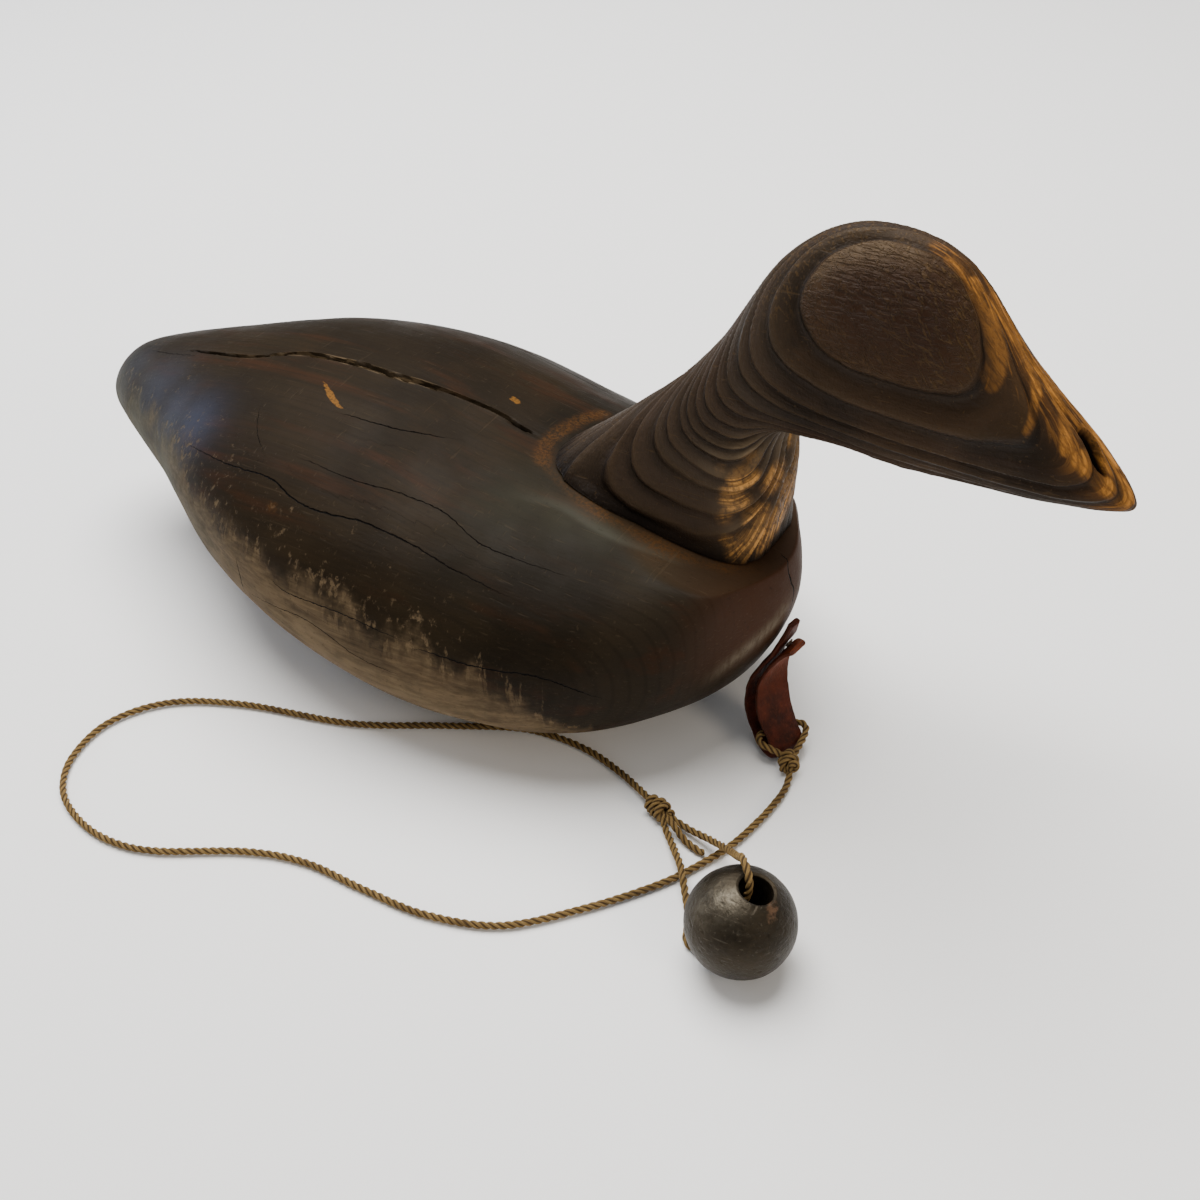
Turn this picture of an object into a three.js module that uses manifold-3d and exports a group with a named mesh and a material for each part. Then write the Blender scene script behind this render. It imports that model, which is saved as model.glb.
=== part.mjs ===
// Wooden duck decoy with its leather line loop, twine and lead ball weight.
// Millimetres, +Z up. The duck faces +X, its right side faces -Y, and it rests on its flat underside at Z = 0.
// The origin is under the middle of the carved duck.
import * as THREE from "three";
import { mergeVertices } from "three/addons/utils/BufferGeometryUtils.js";
import Module from "manifold-3d";

const wasm = await Module();
wasm.setup();

// Body: stations along the hull, each a section in the YZ plane.
// x, half width, top, bottom, height of the widest line, then the powers that square off the upper and lower half.
const bodyStations = [
  [-222, 0, 63.5, 63.5, 63.5, 2.0, 2.0],
  [-216, 12, 73, 54, 62.5, 2.0, 2.0],
  [-201, 22.5, 85.5, 43.5, 63.5, 2.0, 2.0],
  [-162, 43, 97, 24.5, 64.5, 2.1, 2.1],
  [-112, 72, 104.5, 8, 62.5, 2.3, 2.2],
  [-58, 88, 104, -1.5, 56, 2.2, 2.3],
  [-2, 89.5, 93.5, -4, 44.5, 2.2, 2.3],
  [50, 77.5, 88.5, -0.5, 45, 2.2, 2.2],
  [86, 54, 90, 15, 54, 2.2, 2.2],
  [102, 29.5, 90, 28.5, 64.5, 2.3, 2.0],
  [114, 0, 63, 63, 63, 2.2, 2.0],
];
const bodyRings = 36;
const bodySides = 28;

// Neck shelf: the sloping flat on the breast that the neck stands on.
const shelfHeight = 85.35; // at shelfMiddle
const shelfMiddle = 58;
const shelfFall = 0.145; // mm down for each mm forward
const shelfRear = -2;
const shelfFront = 130;

// Back check: the long drying crack along the back, with its widest point near the middle.
const checkPath = [
  [-166, -9],
  [-132, -10],
  [-110, -1],
  [-94, 2],
  [-62, 4],
  [-32, 8],
  [-19, 9],
  [2, 7],
];
const checkWidth = 2.6;
const checkDepth = 8;

// Head and neck: the outline of the back (nape, crown, forehead) and of the front (throat, chin, bill) in XZ.
const backLine = [
  [11, 92.6],
  [24, 103.5],
  [43, 120],
  [61, 137],
  [79, 159.5],
  [100.5, 194],
  [125.5, 209],
  [156, 204.5],
  [182.5, 176.5],
  [210.3, 153],
  [221.5, 137],
];
const frontLine = [
  [102.5, 79.35],
  [103, 86],
  [105, 112],
  [104, 126.5],
  [107, 133],
  [117.5, 133],
  [131, 133],
  [149, 131],
  [171.5, 132],
  [197.3, 132.5],
  [221.5, 137],
];
const headHalfWidths = [25, 24, 22, 21.2, 21.4, 23.8, 24.5, 21.8, 17.1, 10.5, 0];
const backPowers = [2.6, 2.5, 2.3, 2.2, 2.1, 2.1, 2.1, 2.1, 2.1, 2, 2];
const frontPowers = [4.2, 3.8, 3.2, 2.8, 2.4, 2.3, 2.3, 2.3, 2.2, 2, 2];
const headRings = 32;
const headSides = 22;
const headOffset = 8; // the neck stands this far to the duck's left of the middle
const headTurn = -1.8; // degrees, towards the duck's right
const headTurnAbout = 58;
const seatGap = 0.4; // between neck and shelf

// Growth layers of the head's wood: weathering has left the hard layers standing proud.
// The layers are flat sheets whose normal leans out to the duck's right and up.
const layerLean = 26.7; // degrees above level
const layerTurn = 9.7; // degrees from -Y towards +X
const layerRims = [114.2, 107.4, 98.8, 88.6, 73]; // distance of each rim from the origin along the normal
const layerProud = 0.5; // share of each layer that stands proud
const layerDepth = 1.1;
const cheekEnd = 150; // past the outermost layer

// Slit near the bill's tip, where the soft wood has gone.
const slitCentre = [209, 2.6, 154.5];
const slitHalf = [9.5, 2.3, 5]; // along, across, deep
const slitHeading = -36; // degrees in plan
const slitDip = 42; // degrees down along its length

// Leather loop: one strap folded on itself and twisted, nailed under the breast by both ends.
// Centre line from the outer free end down to the fold and back up to the inner end, each point with the
// heading in plan, in degrees, of the strap's width.
const strapWidth = 15;
const strapThickness = 2.4;
const strapLine = [
  [116, -2.6, 40.4, 90],
  [113.4, -3.4, 37.4, 88],
  [111.2, -5.4, 33.2, 80],
  [110.9, -9, 28.4, 67],
  [112, -12, 24, 59],
  [114, -14.4, 18.6, 57],
  [117, -15.8, 12.6, 57],
  [120.2, -16.8, 7.4, 58],
  [122.4, -17.8, 4.3, 60],
  [121.8, -18.2, 1.8, 62],
  [118.6, -17.3, 1.7, 62],
  [115.2, -15.6, 3, 60],
  [111.6, -13.4, 6.2, 58],
  [108.2, -11.6, 12, 57],
  [106.4, -10, 19.6, 58],
  [106.4, -7.6, 27, 64],
  [107.7, -5, 33.2, 78],
  [109.4, -3.2, 38.3, 88],
  [111.2, -2.4, 43.2, 90],
  [112.8, -2.1, 47.8, 90],
];
const nailHeadRadius = 2;
const nailHeadHeight = 1;
const nailAlong = 0.93; // share of the strap's length from its outer end

// Twine, three strands laid up, 2.8 mm thick.
const twineDiameter = 2.8;
const twineSides = 8;
// From the knot at the leather loop, round the floor under the duck's right side, to the line knot.
const anchorRoute = [
  [128.4, -29.1, 3.2],
  [129, -31.8, 2.1],
  [129.7, -36.2, 1.5],
  [129.6, -43.1, 1.5],
  [128, -55.2, 1.5],
  [124, -71.5, 1.5],
  [116.3, -88.2, 1.5],
  [108, -101.5, 1.5],
  [91.4, -121.6, 1.5],
  [70.8, -140.8, 1.5],
  [45.4, -149.4, 1.5],
  [20.3, -150.9, 1.5],
  [-6.2, -151.3, 1.5],
  [-28.8, -157.8, 1.5],
  [-57.8, -173.4, 1.5],
  [-76.2, -177.9, 1.5],
  [-94, -176, 1.5],
  [-110.3, -168.2, 1.5],
  [-120.4, -153.5, 1.5],
  [-121.6, -132.4, 1.5],
  [-107.9, -112.1, 1.5],
  [-80.1, -98.4, 1.5],
  [-35.8, -86.7, 1.5],
  [-3.5, -70.6, 1.5],
  [23.2, -57.6, 1.5],
  [39, -54.2, 1.5],
  [55.8, -54.5, 1.5],
  [71.5, -58.6, 1.6],
  [81.4, -63, 2.6],
  [89.8, -67.4, 4],
];
const anchorSteps = 48;
// From the line knot over the anchor line into the ball, out underneath and back over the line to the knot.
const weightRoute = [
  [99.2, -70.2, 2.8],
  [104.2, -71.4, 2.8],
  [109.2, -72.6, 3.2],
  [113.3, -73.5, 4],
  [117, -74.8, 5.4],
  [121.1, -76.8, 7.4],
  [125.2, -79.3, 10.2],
  [129.4, -82.7, 13.8],
  [133.2, -86.7, 18.2],
  [136.6, -90.9, 23.2],
  [139.1, -94.6, 28],
  [140.6, -97.9, 32.6],
  [141.9, -101.1, 36.9],
  [143.8, -103.7, 39.4],
  [146.3, -106.4, 39.9],
  [148.4, -108.7, 37.8],
  [149.1, -109.8, 33.9],
  [148.2, -110.2, 28.9],
  [146.5, -110.7, 23.8],
  [144.8, -111.3, 18.8],
  [143.9, -111.8, 13.8],
  [143.5, -112.4, 8.4],
  [142.1, -113.6, 3.6],
  [138.7, -115.9, 1.35],
  [135.5, -117.1, 1.45],
  [132.1, -116.9, 1.45],
  [129.2, -114.8, 1.45],
  [127.3, -110.2, 1.45],
  [125.1, -105.6, 1.7],
  [122.3, -101.4, 2.5],
  [119.3, -97.3, 3.5],
  [116.4, -93.3, 4.6],
  [113.2, -89.3, 4.8],
  [109.8, -85.6, 4],
  [106.4, -81.8, 2.9],
  [102.9, -78.2, 2.2],
  [99.2, -74.6, 2.2],
];
const weightSteps = 34;
const tailRoute = [
  [99.4, -72.9, 5.8],
  [103.4, -74.8, 4.4],
  [108, -76.6, 2.2],
  [112.8, -78, 1.5],
  [117.8, -78.9, 1.5],
];
const tailSteps = 4;

// Knots: round wraps of the same twine about the line.
const lineKnotAt = [94.2, -69.4, 4];
const lineKnotHeading = -24;
const lineKnotWraps = 3;
const lineKnotRadius = 3.9;
const loopKnotAt = [126.2, -25.9, 4.3];
const loopKnotHeading = -56;
const loopKnotWraps = 2;
const loopKnotRadius = 4.2;
// The bight of twine through the leather loop and round its outer layer.
const bightRoute = [
  [125.4, -24.6, 4.4],
  [121.8, -25.4, 6.6],
  [118.4, -26.2, 8.2],
  [114, -25.6, 8.8],
  [112.2, -21, 8.2],
  [115.9, -14, 7.7],
  [119.8, -8.4, 8.2],
  [123.6, -6.4, 8.6],
  [126.8, -8.6, 8],
  [127.8, -14.6, 6.4],
  [126.6, -22.6, 4.6],
];
const bightSteps = 20;

// Lead ball with a bore right through it.
const ballCentre = [147.7, -112, 19];
const ballRadius = 19;
const boreRadius = 5.9;
const boreAxis = [0.237, 0.121, 0.963];

// Smooth curve through rows of numbers, t from 0 to 1, with a guide row before the first and after the last.
function through(rows, t, before = rows[0], after = rows[rows.length - 1]) {
  const all = [before, ...rows, after];
  const s = Math.min(Math.max(t, 0), 1) * (rows.length - 1);
  const i = Math.min(Math.floor(s), rows.length - 2);
  const f = s - i;
  return rows[0].map((_, k) => {
    const [p0, p1, p2, p3] = [0, 1, 2, 3].map((j) => all[i + j][k]);
    const v0 = (p2 - p0) / 2;
    const v1 = (p3 - p1) / 2;
    return (
      (2 * p1 - 2 * p2 + v0 + v1) * f ** 3 +
      (3 * p2 - 3 * p1 - 2 * v0 - v1) * f ** 2 +
      v0 * f +
      p1
    );
  });
}

// Signed power of a sine or cosine, which squares off an ellipse as the power rises above 2.
function squared(value, power) {
  return Math.sign(value) * Math.abs(value) ** (2 / power);
}

// Closed skin over a stack of rings of equal count, with a centre point at each end.
function skin(rings) {
  const sides = rings[0].length;
  const points = rings.flat();
  const index = [];
  for (let r = 0; r + 1 < rings.length; r++)
    for (let s = 0; s < sides; s++) {
      const a = r * sides + s;
      const b = r * sides + ((s + 1) % sides);
      index.push(a, b, b + sides, a, b + sides, a + sides);
    }
  for (const [ring, turned] of [
    [0, true],
    [rings.length - 1, false],
  ]) {
    const centre = rings[ring]
      .reduce((sum, p) => sum.add(p), new THREE.Vector3())
      .divideScalar(sides);
    points.push(centre);
    const c = points.length - 1;
    for (let s = 0; s < sides; s++) {
      const a = ring * sides + s;
      const b = ring * sides + ((s + 1) % sides);
      if (turned) index.push(c, b, a);
      else index.push(c, a, b);
    }
  }
  const geometry = new THREE.BufferGeometry();
  geometry.setFromPoints(points);
  geometry.setIndex(index);
  return geometry;
}

// Geometry to solid and back.
function solid(geometry) {
  const bare = geometry.clone();
  bare.deleteAttribute("normal");
  bare.deleteAttribute("uv");
  const merged = mergeVertices(bare, 1e-3);
  const old = merged.index.array;
  const kept = [];
  for (let i = 0; i < old.length; i += 3) {
    const [a, b, c] = old.slice(i, i + 3);
    if (a !== b && b !== c && c !== a) kept.push(a, b, c);
  }
  const made = new wasm.Manifold(
    new wasm.Mesh({
      numProp: 3,
      vertProperties: merged.attributes.position.array,
      triVerts: new Uint32Array(kept),
    }),
  );
  if (made.volume() > 0) return made;
  for (let i = 0; i < kept.length; i += 3)
    [kept[i + 1], kept[i + 2]] = [kept[i + 2], kept[i + 1]];
  return new wasm.Manifold(
    new wasm.Mesh({
      numProp: 3,
      vertProperties: merged.attributes.position.array,
      triVerts: new Uint32Array(kept),
    }),
  );
}

function geometryOf(made) {
  const mesh = made.getMesh();
  const geometry = new THREE.BufferGeometry();
  geometry.setAttribute(
    "position",
    new THREE.BufferAttribute(mesh.vertProperties, 3),
  );
  geometry.setIndex(new THREE.BufferAttribute(mesh.triVerts, 1));
  geometry.computeVertexNormals();
  return geometry;
}

function vector([x, y, z]) {
  return new THREE.Vector3(x, y, z);
}

// Hull: superellipse sections lofted along the stations, grown outwards by a margin.
function hull(margin = 0) {
  const mirrored = ([x, w, top, bottom, widest, up, low]) => [
    x,
    -w,
    bottom,
    top,
    widest,
    up,
    low,
  ];
  const last = bodyStations.length - 1;
  const rings = [];
  for (let r = 0; r < bodyRings; r++) {
    const t = (1 - Math.cos((Math.PI * r) / (bodyRings - 1))) / 2;
    const even = r / (bodyRings - 1);
    const [x, w, top, bottom, widest, up, low] = through(
      bodyStations,
      (t + even) / 2,
      mirrored(bodyStations[1]),
      mirrored(bodyStations[last - 1]),
    );
    const ring = [];
    for (let s = 0; s < bodySides; s++) {
      const angle = (2 * Math.PI * s) / bodySides;
      const power = Math.cos(angle) > 0 ? up : low;
      const c = squared(Math.cos(angle), power);
      const reach = c > 0 ? top - widest + margin : widest - bottom + margin;
      ring.push(
        new THREE.Vector3(
          x + (margin * (even - 0.5)) / 0.5,
          -(w + margin) * squared(Math.sin(angle), power),
          widest + reach * c,
        ),
      );
    }
    rings.push(ring);
  }
  return solid(skin(rings));
}

function shelfAt(x) {
  return shelfHeight - shelfFall * (x - shelfMiddle);
}

// A prism across the duck with the given outline in XZ.
function acrossPrism(outline, halfDepth) {
  const shape = new THREE.Shape(outline.map(([x, z]) => new THREE.Vector2(x, z)));
  const geometry = new THREE.ExtrudeGeometry(shape, {
    depth: 2 * halfDepth,
    bevelEnabled: false,
  });
  geometry.rotateX(Math.PI / 2);
  geometry.translate(0, halfDepth, 0);
  return solid(geometry);
}

// Wedge that follows the back check: widest at the middle, sharp at its floor and its ends.
function backCheck() {
  const steps = 18;
  const rings = [];
  for (let i = 0; i <= steps; i++) {
    const t = i / steps;
    const [x, y] = through(checkPath, t);
    const open = Math.sqrt(Math.sin(Math.PI * Math.min(Math.max(t, 0.02), 0.98)));
    const [, , top] = through(bodyStations, stationOf(x));
    const half = (checkWidth / 2) * open + 0.05;
    const floor = top - 0.6 - checkDepth * open;
    rings.push([
      new THREE.Vector3(x, y, floor),
      new THREE.Vector3(x, y + 2.2 * half, top + 6),
      new THREE.Vector3(x, y - 2.2 * half, top + 6),
    ]);
  }
  return solid(skin(rings));
}

// Share of the way along the stations at which the hull reaches x.
function stationOf(x) {
  let low = 0;
  let high = 1;
  for (let i = 0; i < 30; i++) {
    const middle = (low + high) / 2;
    if (through(bodyStations, middle)[0] < x) low = middle;
    else high = middle;
  }
  return low;
}

function bodySolid() {
  const below = acrossPrism(
    [
      [-260, -40],
      [160, -40],
      [160, 0],
      [-260, 0],
    ],
    130,
  );
  const overShelf = acrossPrism(
    [
      [shelfRear, shelfAt(shelfRear)],
      [shelfFront, shelfAt(shelfFront)],
      [shelfFront, 180],
      [shelfRear, 180],
    ],
    130,
  );
  return hull().subtract(below).subtract(overShelf).subtract(backCheck());
}

// Head and neck: sections spanned between the back and front outlines.
function headRingsOf() {
  const last = backLine.length - 1;
  const profile = backLine.map((b, i) => [
    ...b,
    ...frontLine[i],
    headHalfWidths[i],
    backPowers[i],
    frontPowers[i],
  ]);
  const [bx, bz, fx, fz, w, bp, fp] = profile[last - 1];
  const beyond = [fx, fz, bx, bz, -w, bp, fp];
  const rings = [];
  for (let r = 0; r < headRings; r++) {
    const even = r / (headRings - 1);
    const t = 0.35 * Math.sin((Math.PI / 2) * even) + 0.65 * even;
    const [xb, zb, xf, zf, half, back, front] = through(
      profile,
      t,
      profile[0],
      beyond,
    );
    const ring = [];
    for (let s = 0; s < headSides; s++) {
      const angle = (2 * Math.PI * s) / headSides;
      const power = Math.cos(angle) > 0 ? back : front;
      const c = squared(Math.cos(angle), power);
      const x = (xb + xf) / 2 + ((xb - xf) / 2) * c;
      const z = (zb + zf) / 2 + ((zb - zf) / 2) * c;
      const y = -half * squared(Math.sin(angle), power) + headOffset;
      ring.push(
        new THREE.Vector3(x - headTurnAbout, y, z)
          .applyAxisAngle(
            new THREE.Vector3(0, 0, 1),
            THREE.MathUtils.degToRad(headTurn),
          )
          .add(new THREE.Vector3(headTurnAbout, 0, 0)),
      );
    }
    if (r === 0) for (const p of ring) p.z = shelfAt(p.x) + seatGap;
    rings.push(ring);
  }
  return rings;
}

// The same skin sunk along its normals by a depth, with its seat kept on the shelf.
function sunk(geometry, depth) {
  const smooth = mergeVertices(geometry, 1e-3);
  smooth.computeVertexNormals();
  const { position, normal } = smooth.attributes;
  for (let i = 0; i < position.count; i++) {
    const seated =
      position.getZ(i) < shelfAt(position.getX(i)) + seatGap + 0.01;
    const flat = seated ? 0 : 1;
    position.setXYZ(
      i,
      position.getX(i) - depth * normal.getX(i),
      position.getY(i) - depth * normal.getY(i),
      position.getZ(i) - depth * normal.getZ(i) * flat,
    );
    if (seated)
      position.setZ(i, shelfAt(position.getX(i)) + seatGap);
  }
  return smooth;
}

function headSolid() {
  const skinned = skin(headRingsOf());
  const outer = solid(skinned);
  const inner = solid(sunk(skinned, layerDepth));
  const lean = THREE.MathUtils.degToRad(layerLean);
  const turn = THREE.MathUtils.degToRad(layerTurn);
  const normal = new THREE.Vector3(
    Math.cos(lean) * Math.sin(turn),
    -Math.cos(lean) * Math.cos(turn),
    Math.sin(lean),
  );
  const facing = new THREE.Quaternion().setFromUnitVectors(
    new THREE.Vector3(0, 0, 1),
    normal,
  );
  const slabs = layerRims.map((rim, i) => {
    const next = i ? layerRims[i - 1] : cheekEnd;
    const thick = i ? layerProud * (next - rim) : next - rim;
    const slab = new THREE.BoxGeometry(600, 600, thick);
    slab.translate(0, 0, rim + thick / 2);
    slab.applyQuaternion(facing);
    return solid(slab);
  });
  const lowest = layerRims[layerRims.length - 1] - 9;
  const rest = new THREE.BoxGeometry(600, 600, 300);
  rest.translate(0, 0, lowest - 150);
  rest.applyQuaternion(facing);
  slabs.push(solid(rest));
  const proud = outer.intersect(wasm.Manifold.union(slabs));
  const slit = new THREE.SphereGeometry(1, 14, 10);
  slit.scale(...slitHalf);
  slit.rotateY(THREE.MathUtils.degToRad(slitDip));
  slit.rotateZ(THREE.MathUtils.degToRad(slitHeading));
  slit.translate(...slitCentre);
  return inner.add(proud).subtract(solid(slit));
}

// Point of the strap's centre line, with its width direction and the direction square to its face.
function strapAt(t) {
  const [x, y, z, turn] = through(strapLine, t);
  const [x0, y0, z0] = through(strapLine, t - 0.004);
  const [x1, y1, z1] = through(strapLine, t + 0.004);
  const heading = THREE.MathUtils.degToRad(turn);
  const across = new THREE.Vector3(Math.cos(heading), Math.sin(heading), 0);
  const square = new THREE.Vector3(x1 - x0, y1 - y0, z1 - z0)
    .cross(across)
    .normalize();
  return [new THREE.Vector3(x, y, z), across, square];
}

// Folded strap: flat rectangles lofted along the centre line.
function strapSolid() {
  const steps = 50;
  const rings = [];
  for (let i = 0; i <= steps; i++) {
    const [point, across, square] = strapAt(i / steps);
    rings.push(
      [
        [-1, -1],
        [1, -1],
        [1, 1],
        [-1, 1],
      ].map(([u, v]) =>
        point
          .clone()
          .addScaledVector(across, (u * strapWidth) / 2)
          .addScaledVector(square, (v * strapThickness) / 2),
      ),
    );
  }
  return solid(skin(rings)).subtract(hull(seatGap));
}

// Round nail head lying on the strap's inner end, on the face away from the hull.
function nailGeometry() {
  const geometry = new THREE.LatheGeometry(
    [
      new THREE.Vector2(0, 0),
      new THREE.Vector2(nailHeadRadius, 0),
      new THREE.Vector2(nailHeadRadius, nailHeadHeight * 0.4),
      new THREE.Vector2(nailHeadRadius * 0.7, nailHeadHeight * 0.85),
      new THREE.Vector2(0, nailHeadHeight),
    ],
    14,
  );
  const [point, , square] = strapAt(nailAlong);
  const outward = square.multiplyScalar(square.x > 0 ? 1 : -1);
  geometry.applyQuaternion(
    new THREE.Quaternion().setFromUnitVectors(
      new THREE.Vector3(0, 1, 0),
      outward,
    ),
  );
  const seat = point.addScaledVector(outward, strapThickness / 2 + 0.3);
  geometry.translate(...seat);
  return geometryOf(solid(geometry));
}

// Round tube along a route.
function tube(route, steps) {
  const section = new THREE.Shape();
  for (let s = 0; s < twineSides; s++) {
    const angle = (2 * Math.PI * (s + 0.5)) / twineSides;
    const x = (twineDiameter / 2) * Math.cos(angle);
    const y = (twineDiameter / 2) * Math.sin(angle);
    if (s) section.lineTo(x, y);
    else section.moveTo(x, y);
  }
  section.closePath();
  return new THREE.ExtrudeGeometry(section, {
    steps,
    bevelEnabled: false,
    extrudePath: new THREE.CatmullRomCurve3(route.map(vector)),
  });
}

// Barrel of wraps about the level line with the given heading.
function wraps(count, radius, at, heading) {
  const perWrap = 4;
  const length = count * twineDiameter;
  const outline = [new THREE.Vector2(0, -length / 2)];
  for (let i = 0; i <= count * perWrap; i++) {
    const phase = (i / perWrap) * Math.PI;
    outline.push(
      new THREE.Vector2(
        radius - 0.8 * (1 - Math.abs(Math.sin(phase))),
        length * (i / (count * perWrap) - 0.5),
      ),
    );
  }
  outline.push(new THREE.Vector2(0, length / 2));
  const geometry = new THREE.LatheGeometry(outline, 12);
  geometry.rotateZ(-Math.PI / 2);
  geometry.rotateZ(THREE.MathUtils.degToRad(heading));
  geometry.translate(...at);
  return solid(geometry);
}

function ballSolid() {
  const ball = new THREE.SphereGeometry(ballRadius, 24, 16);
  ball.rotateX(Math.PI / 2);
  ball.translate(...ballCentre);
  const bore = new THREE.CylinderGeometry(
    boreRadius,
    boreRadius,
    3 * ballRadius,
    16,
  );
  bore.applyQuaternion(
    new THREE.Quaternion().setFromUnitVectors(
      new THREE.Vector3(0, 1, 0),
      vector(boreAxis).normalize(),
    ),
  );
  bore.translate(...ballCentre);
  return solid(ball).subtract(solid(bore));
}

const wornPaint = new THREE.MeshStandardMaterial({
  color: 0x2b241d,
  roughness: 0.6,
});
const wornHead = new THREE.MeshStandardMaterial({
  color: 0x33271b,
  roughness: 0.55,
});
const leather = new THREE.MeshStandardMaterial({
  color: 0x4a1d12,
  roughness: 0.6,
});
const iron = new THREE.MeshStandardMaterial({
  color: 0x6a625a,
  roughness: 0.6,
  metalness: 0.8,
});
const twine = new THREE.MeshStandardMaterial({
  color: 0x8f7350,
  roughness: 0.9,
});
const lead = new THREE.MeshStandardMaterial({
  color: 0x4a463f,
  roughness: 0.55,
  metalness: 0.6,
});

const decoy = new THREE.Group();

function place(name, geometry, material) {
  const mesh = new THREE.Mesh(geometry, material);
  mesh.name = name;
  decoy.add(mesh);
}

place("body", geometryOf(bodySolid()), wornPaint);
place("head", geometryOf(headSolid()), wornHead);
place("leather_loop", geometryOf(strapSolid()), leather);
place("loop_nail", nailGeometry(), iron);
place(
  "loop_knot",
  geometryOf(
    solid(tube(bightRoute, bightSteps)).add(
      wraps(loopKnotWraps, loopKnotRadius, loopKnotAt, loopKnotHeading),
    ),
  ),
  twine,
);
place("anchor_line", tube(anchorRoute, anchorSteps), twine);
place(
  "line_knot",
  geometryOf(wraps(lineKnotWraps, lineKnotRadius, lineKnotAt, lineKnotHeading)),
  twine,
);
place("weight_line", tube(weightRoute, weightSteps), twine);
place("knot_tail", tube(tailRoute, tailSteps), twine);
place("lead_ball", geometryOf(ballSolid()), lead);

export default decoy;
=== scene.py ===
import bpy
import numpy as np
from mathutils import Matrix, Vector


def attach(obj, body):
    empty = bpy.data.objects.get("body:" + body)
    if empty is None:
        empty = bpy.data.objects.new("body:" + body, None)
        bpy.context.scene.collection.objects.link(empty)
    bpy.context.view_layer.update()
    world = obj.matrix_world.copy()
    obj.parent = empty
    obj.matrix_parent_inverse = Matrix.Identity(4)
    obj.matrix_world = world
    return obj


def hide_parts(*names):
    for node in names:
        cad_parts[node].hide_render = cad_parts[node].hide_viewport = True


# Weathered wooden duck decoy with a leather loop, laid twine and a lead ball.
# Shapes are worked out in millimetres in the frame of the model and go into the meshes in metres.
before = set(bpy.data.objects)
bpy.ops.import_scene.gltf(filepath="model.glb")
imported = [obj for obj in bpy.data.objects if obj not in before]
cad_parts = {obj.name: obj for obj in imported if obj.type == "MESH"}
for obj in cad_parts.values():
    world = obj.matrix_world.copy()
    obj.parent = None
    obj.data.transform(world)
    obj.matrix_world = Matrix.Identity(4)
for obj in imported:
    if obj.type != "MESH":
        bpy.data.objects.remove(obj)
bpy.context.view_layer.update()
toMetres = 0.001
fullTurn = 2 * np.pi


def report(stage):
    print("decoy:", stage, flush=True)


view = {
    "position": (270.7, -390.2, 410.4),
    "right": (0.8634, 0.5035, -0.0311),
    "up": (-0.3026, 0.5662, 0.7667),
    "back": (0.4036, -0.6526, 0.6412),
    "lens": 44.17,
    "sensor": 36.0,
    "clip": (0.01, 50),  # in m
}


def makeCamera(s):
    data = bpy.data.cameras.new("viewCamera")
    data.sensor_fit = "HORIZONTAL"
    data.sensor_width = s["sensor"]
    data.lens = s["lens"]
    data.clip_start, data.clip_end = s["clip"]
    camera = bpy.data.objects.new("viewCamera", data)
    bpy.context.collection.objects.link(camera)
    turn = Matrix((s["right"], s["up"], s["back"])).transposed().to_4x4()
    turn.translation = Vector(s["position"]) * toMetres
    camera.matrix_world = turn
    bpy.context.scene.camera = camera


makeCamera(view)
report("camera placed")


# Smooth curve through rows of numbers: between two rows it is the cubic whose slope
# at each row is half the step from the row before to the row after.
def through(rows, t, before=None, after=None):
    rows = np.asarray(rows, float)
    first = rows[0] if before is None else np.asarray(before, float)
    last = rows[-1] if after is None else np.asarray(after, float)
    guided = np.vstack([first, rows, last])
    s = np.clip(np.asarray(t, float), 0, 1) * (len(rows) - 1)
    i = np.minimum(s.astype(int), len(rows) - 2)
    f = (s - i)[..., None]
    p0, p1, p2, p3 = (guided[i + k] for k in range(4))
    v0, v1 = (p2 - p0) / 2, (p3 - p1) / 2
    return (2 * p1 - 2 * p2 + v0 + v1) * f**3 + (3 * p2 - 3 * p1 - 2 * v0 - v1) * f**2 + v0 * f + p1


# Sine or cosine raised to 2 / power with its sign kept: a power above 2 squares off an ellipse.
def squared(value, power):
    return np.sign(value) * np.abs(value) ** (2 / power)


# Rises from 0 to 1 between low and high with level ends: 3 s^2 - 2 s^3.
def easeIn(value, low, high):
    s = np.clip((value - low) / (high - low), 0, 1)
    return s * s * (3 - 2 * s)


# Bell round zero: exp(-(value / width)^2).
def bell(value, width):
    return np.exp(-((value / width) ** 2))


# Thins a line towards both its ends: sin(pi share)^power, with the share held off the ends.
def swell(share, power=0.5, end=0.02):
    return np.sin(np.pi * np.clip(share, end, 1 - end)) ** power


def unit(vectors):
    return vectors / np.maximum(np.linalg.norm(vectors, axis=-1, keepdims=True), 1e-9)


noiseCells = 4096  # random numbers in the table
cellKeys = (73856093, 19349663, 83492791)  # large primes that scatter the cells over the table


# Soft noise from -1 to 1: seeded numbers sit on a cubic lattice of the given size in mm,
# and a point blends the eight corners of its cell with eased weights.
def cloud(points, size, seed):
    table = np.random.default_rng(seed).uniform(-1, 1, noiseCells)
    q = points / size
    cell = np.floor(q).astype(np.int64)
    f = q - cell
    f = f * f * (3 - 2 * f)
    total = np.zeros(points.shape[:-1])
    for corner in range(8):
        step = np.array([(corner >> k) & 1 for k in range(3)])
        x, y, z = np.moveaxis((cell + step) * cellKeys, -1, 0)
        total += np.prod(np.where(step == 1, f, 1 - f), axis=-1) * table[(x ^ y ^ z) % noiseCells]
    return total


# Sum of soft noises, each row with its height, its size in mm and its seed.
def clouds(points, rows):
    return sum(height * cloud(points, size, seed) for height, size, seed in rows)


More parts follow.
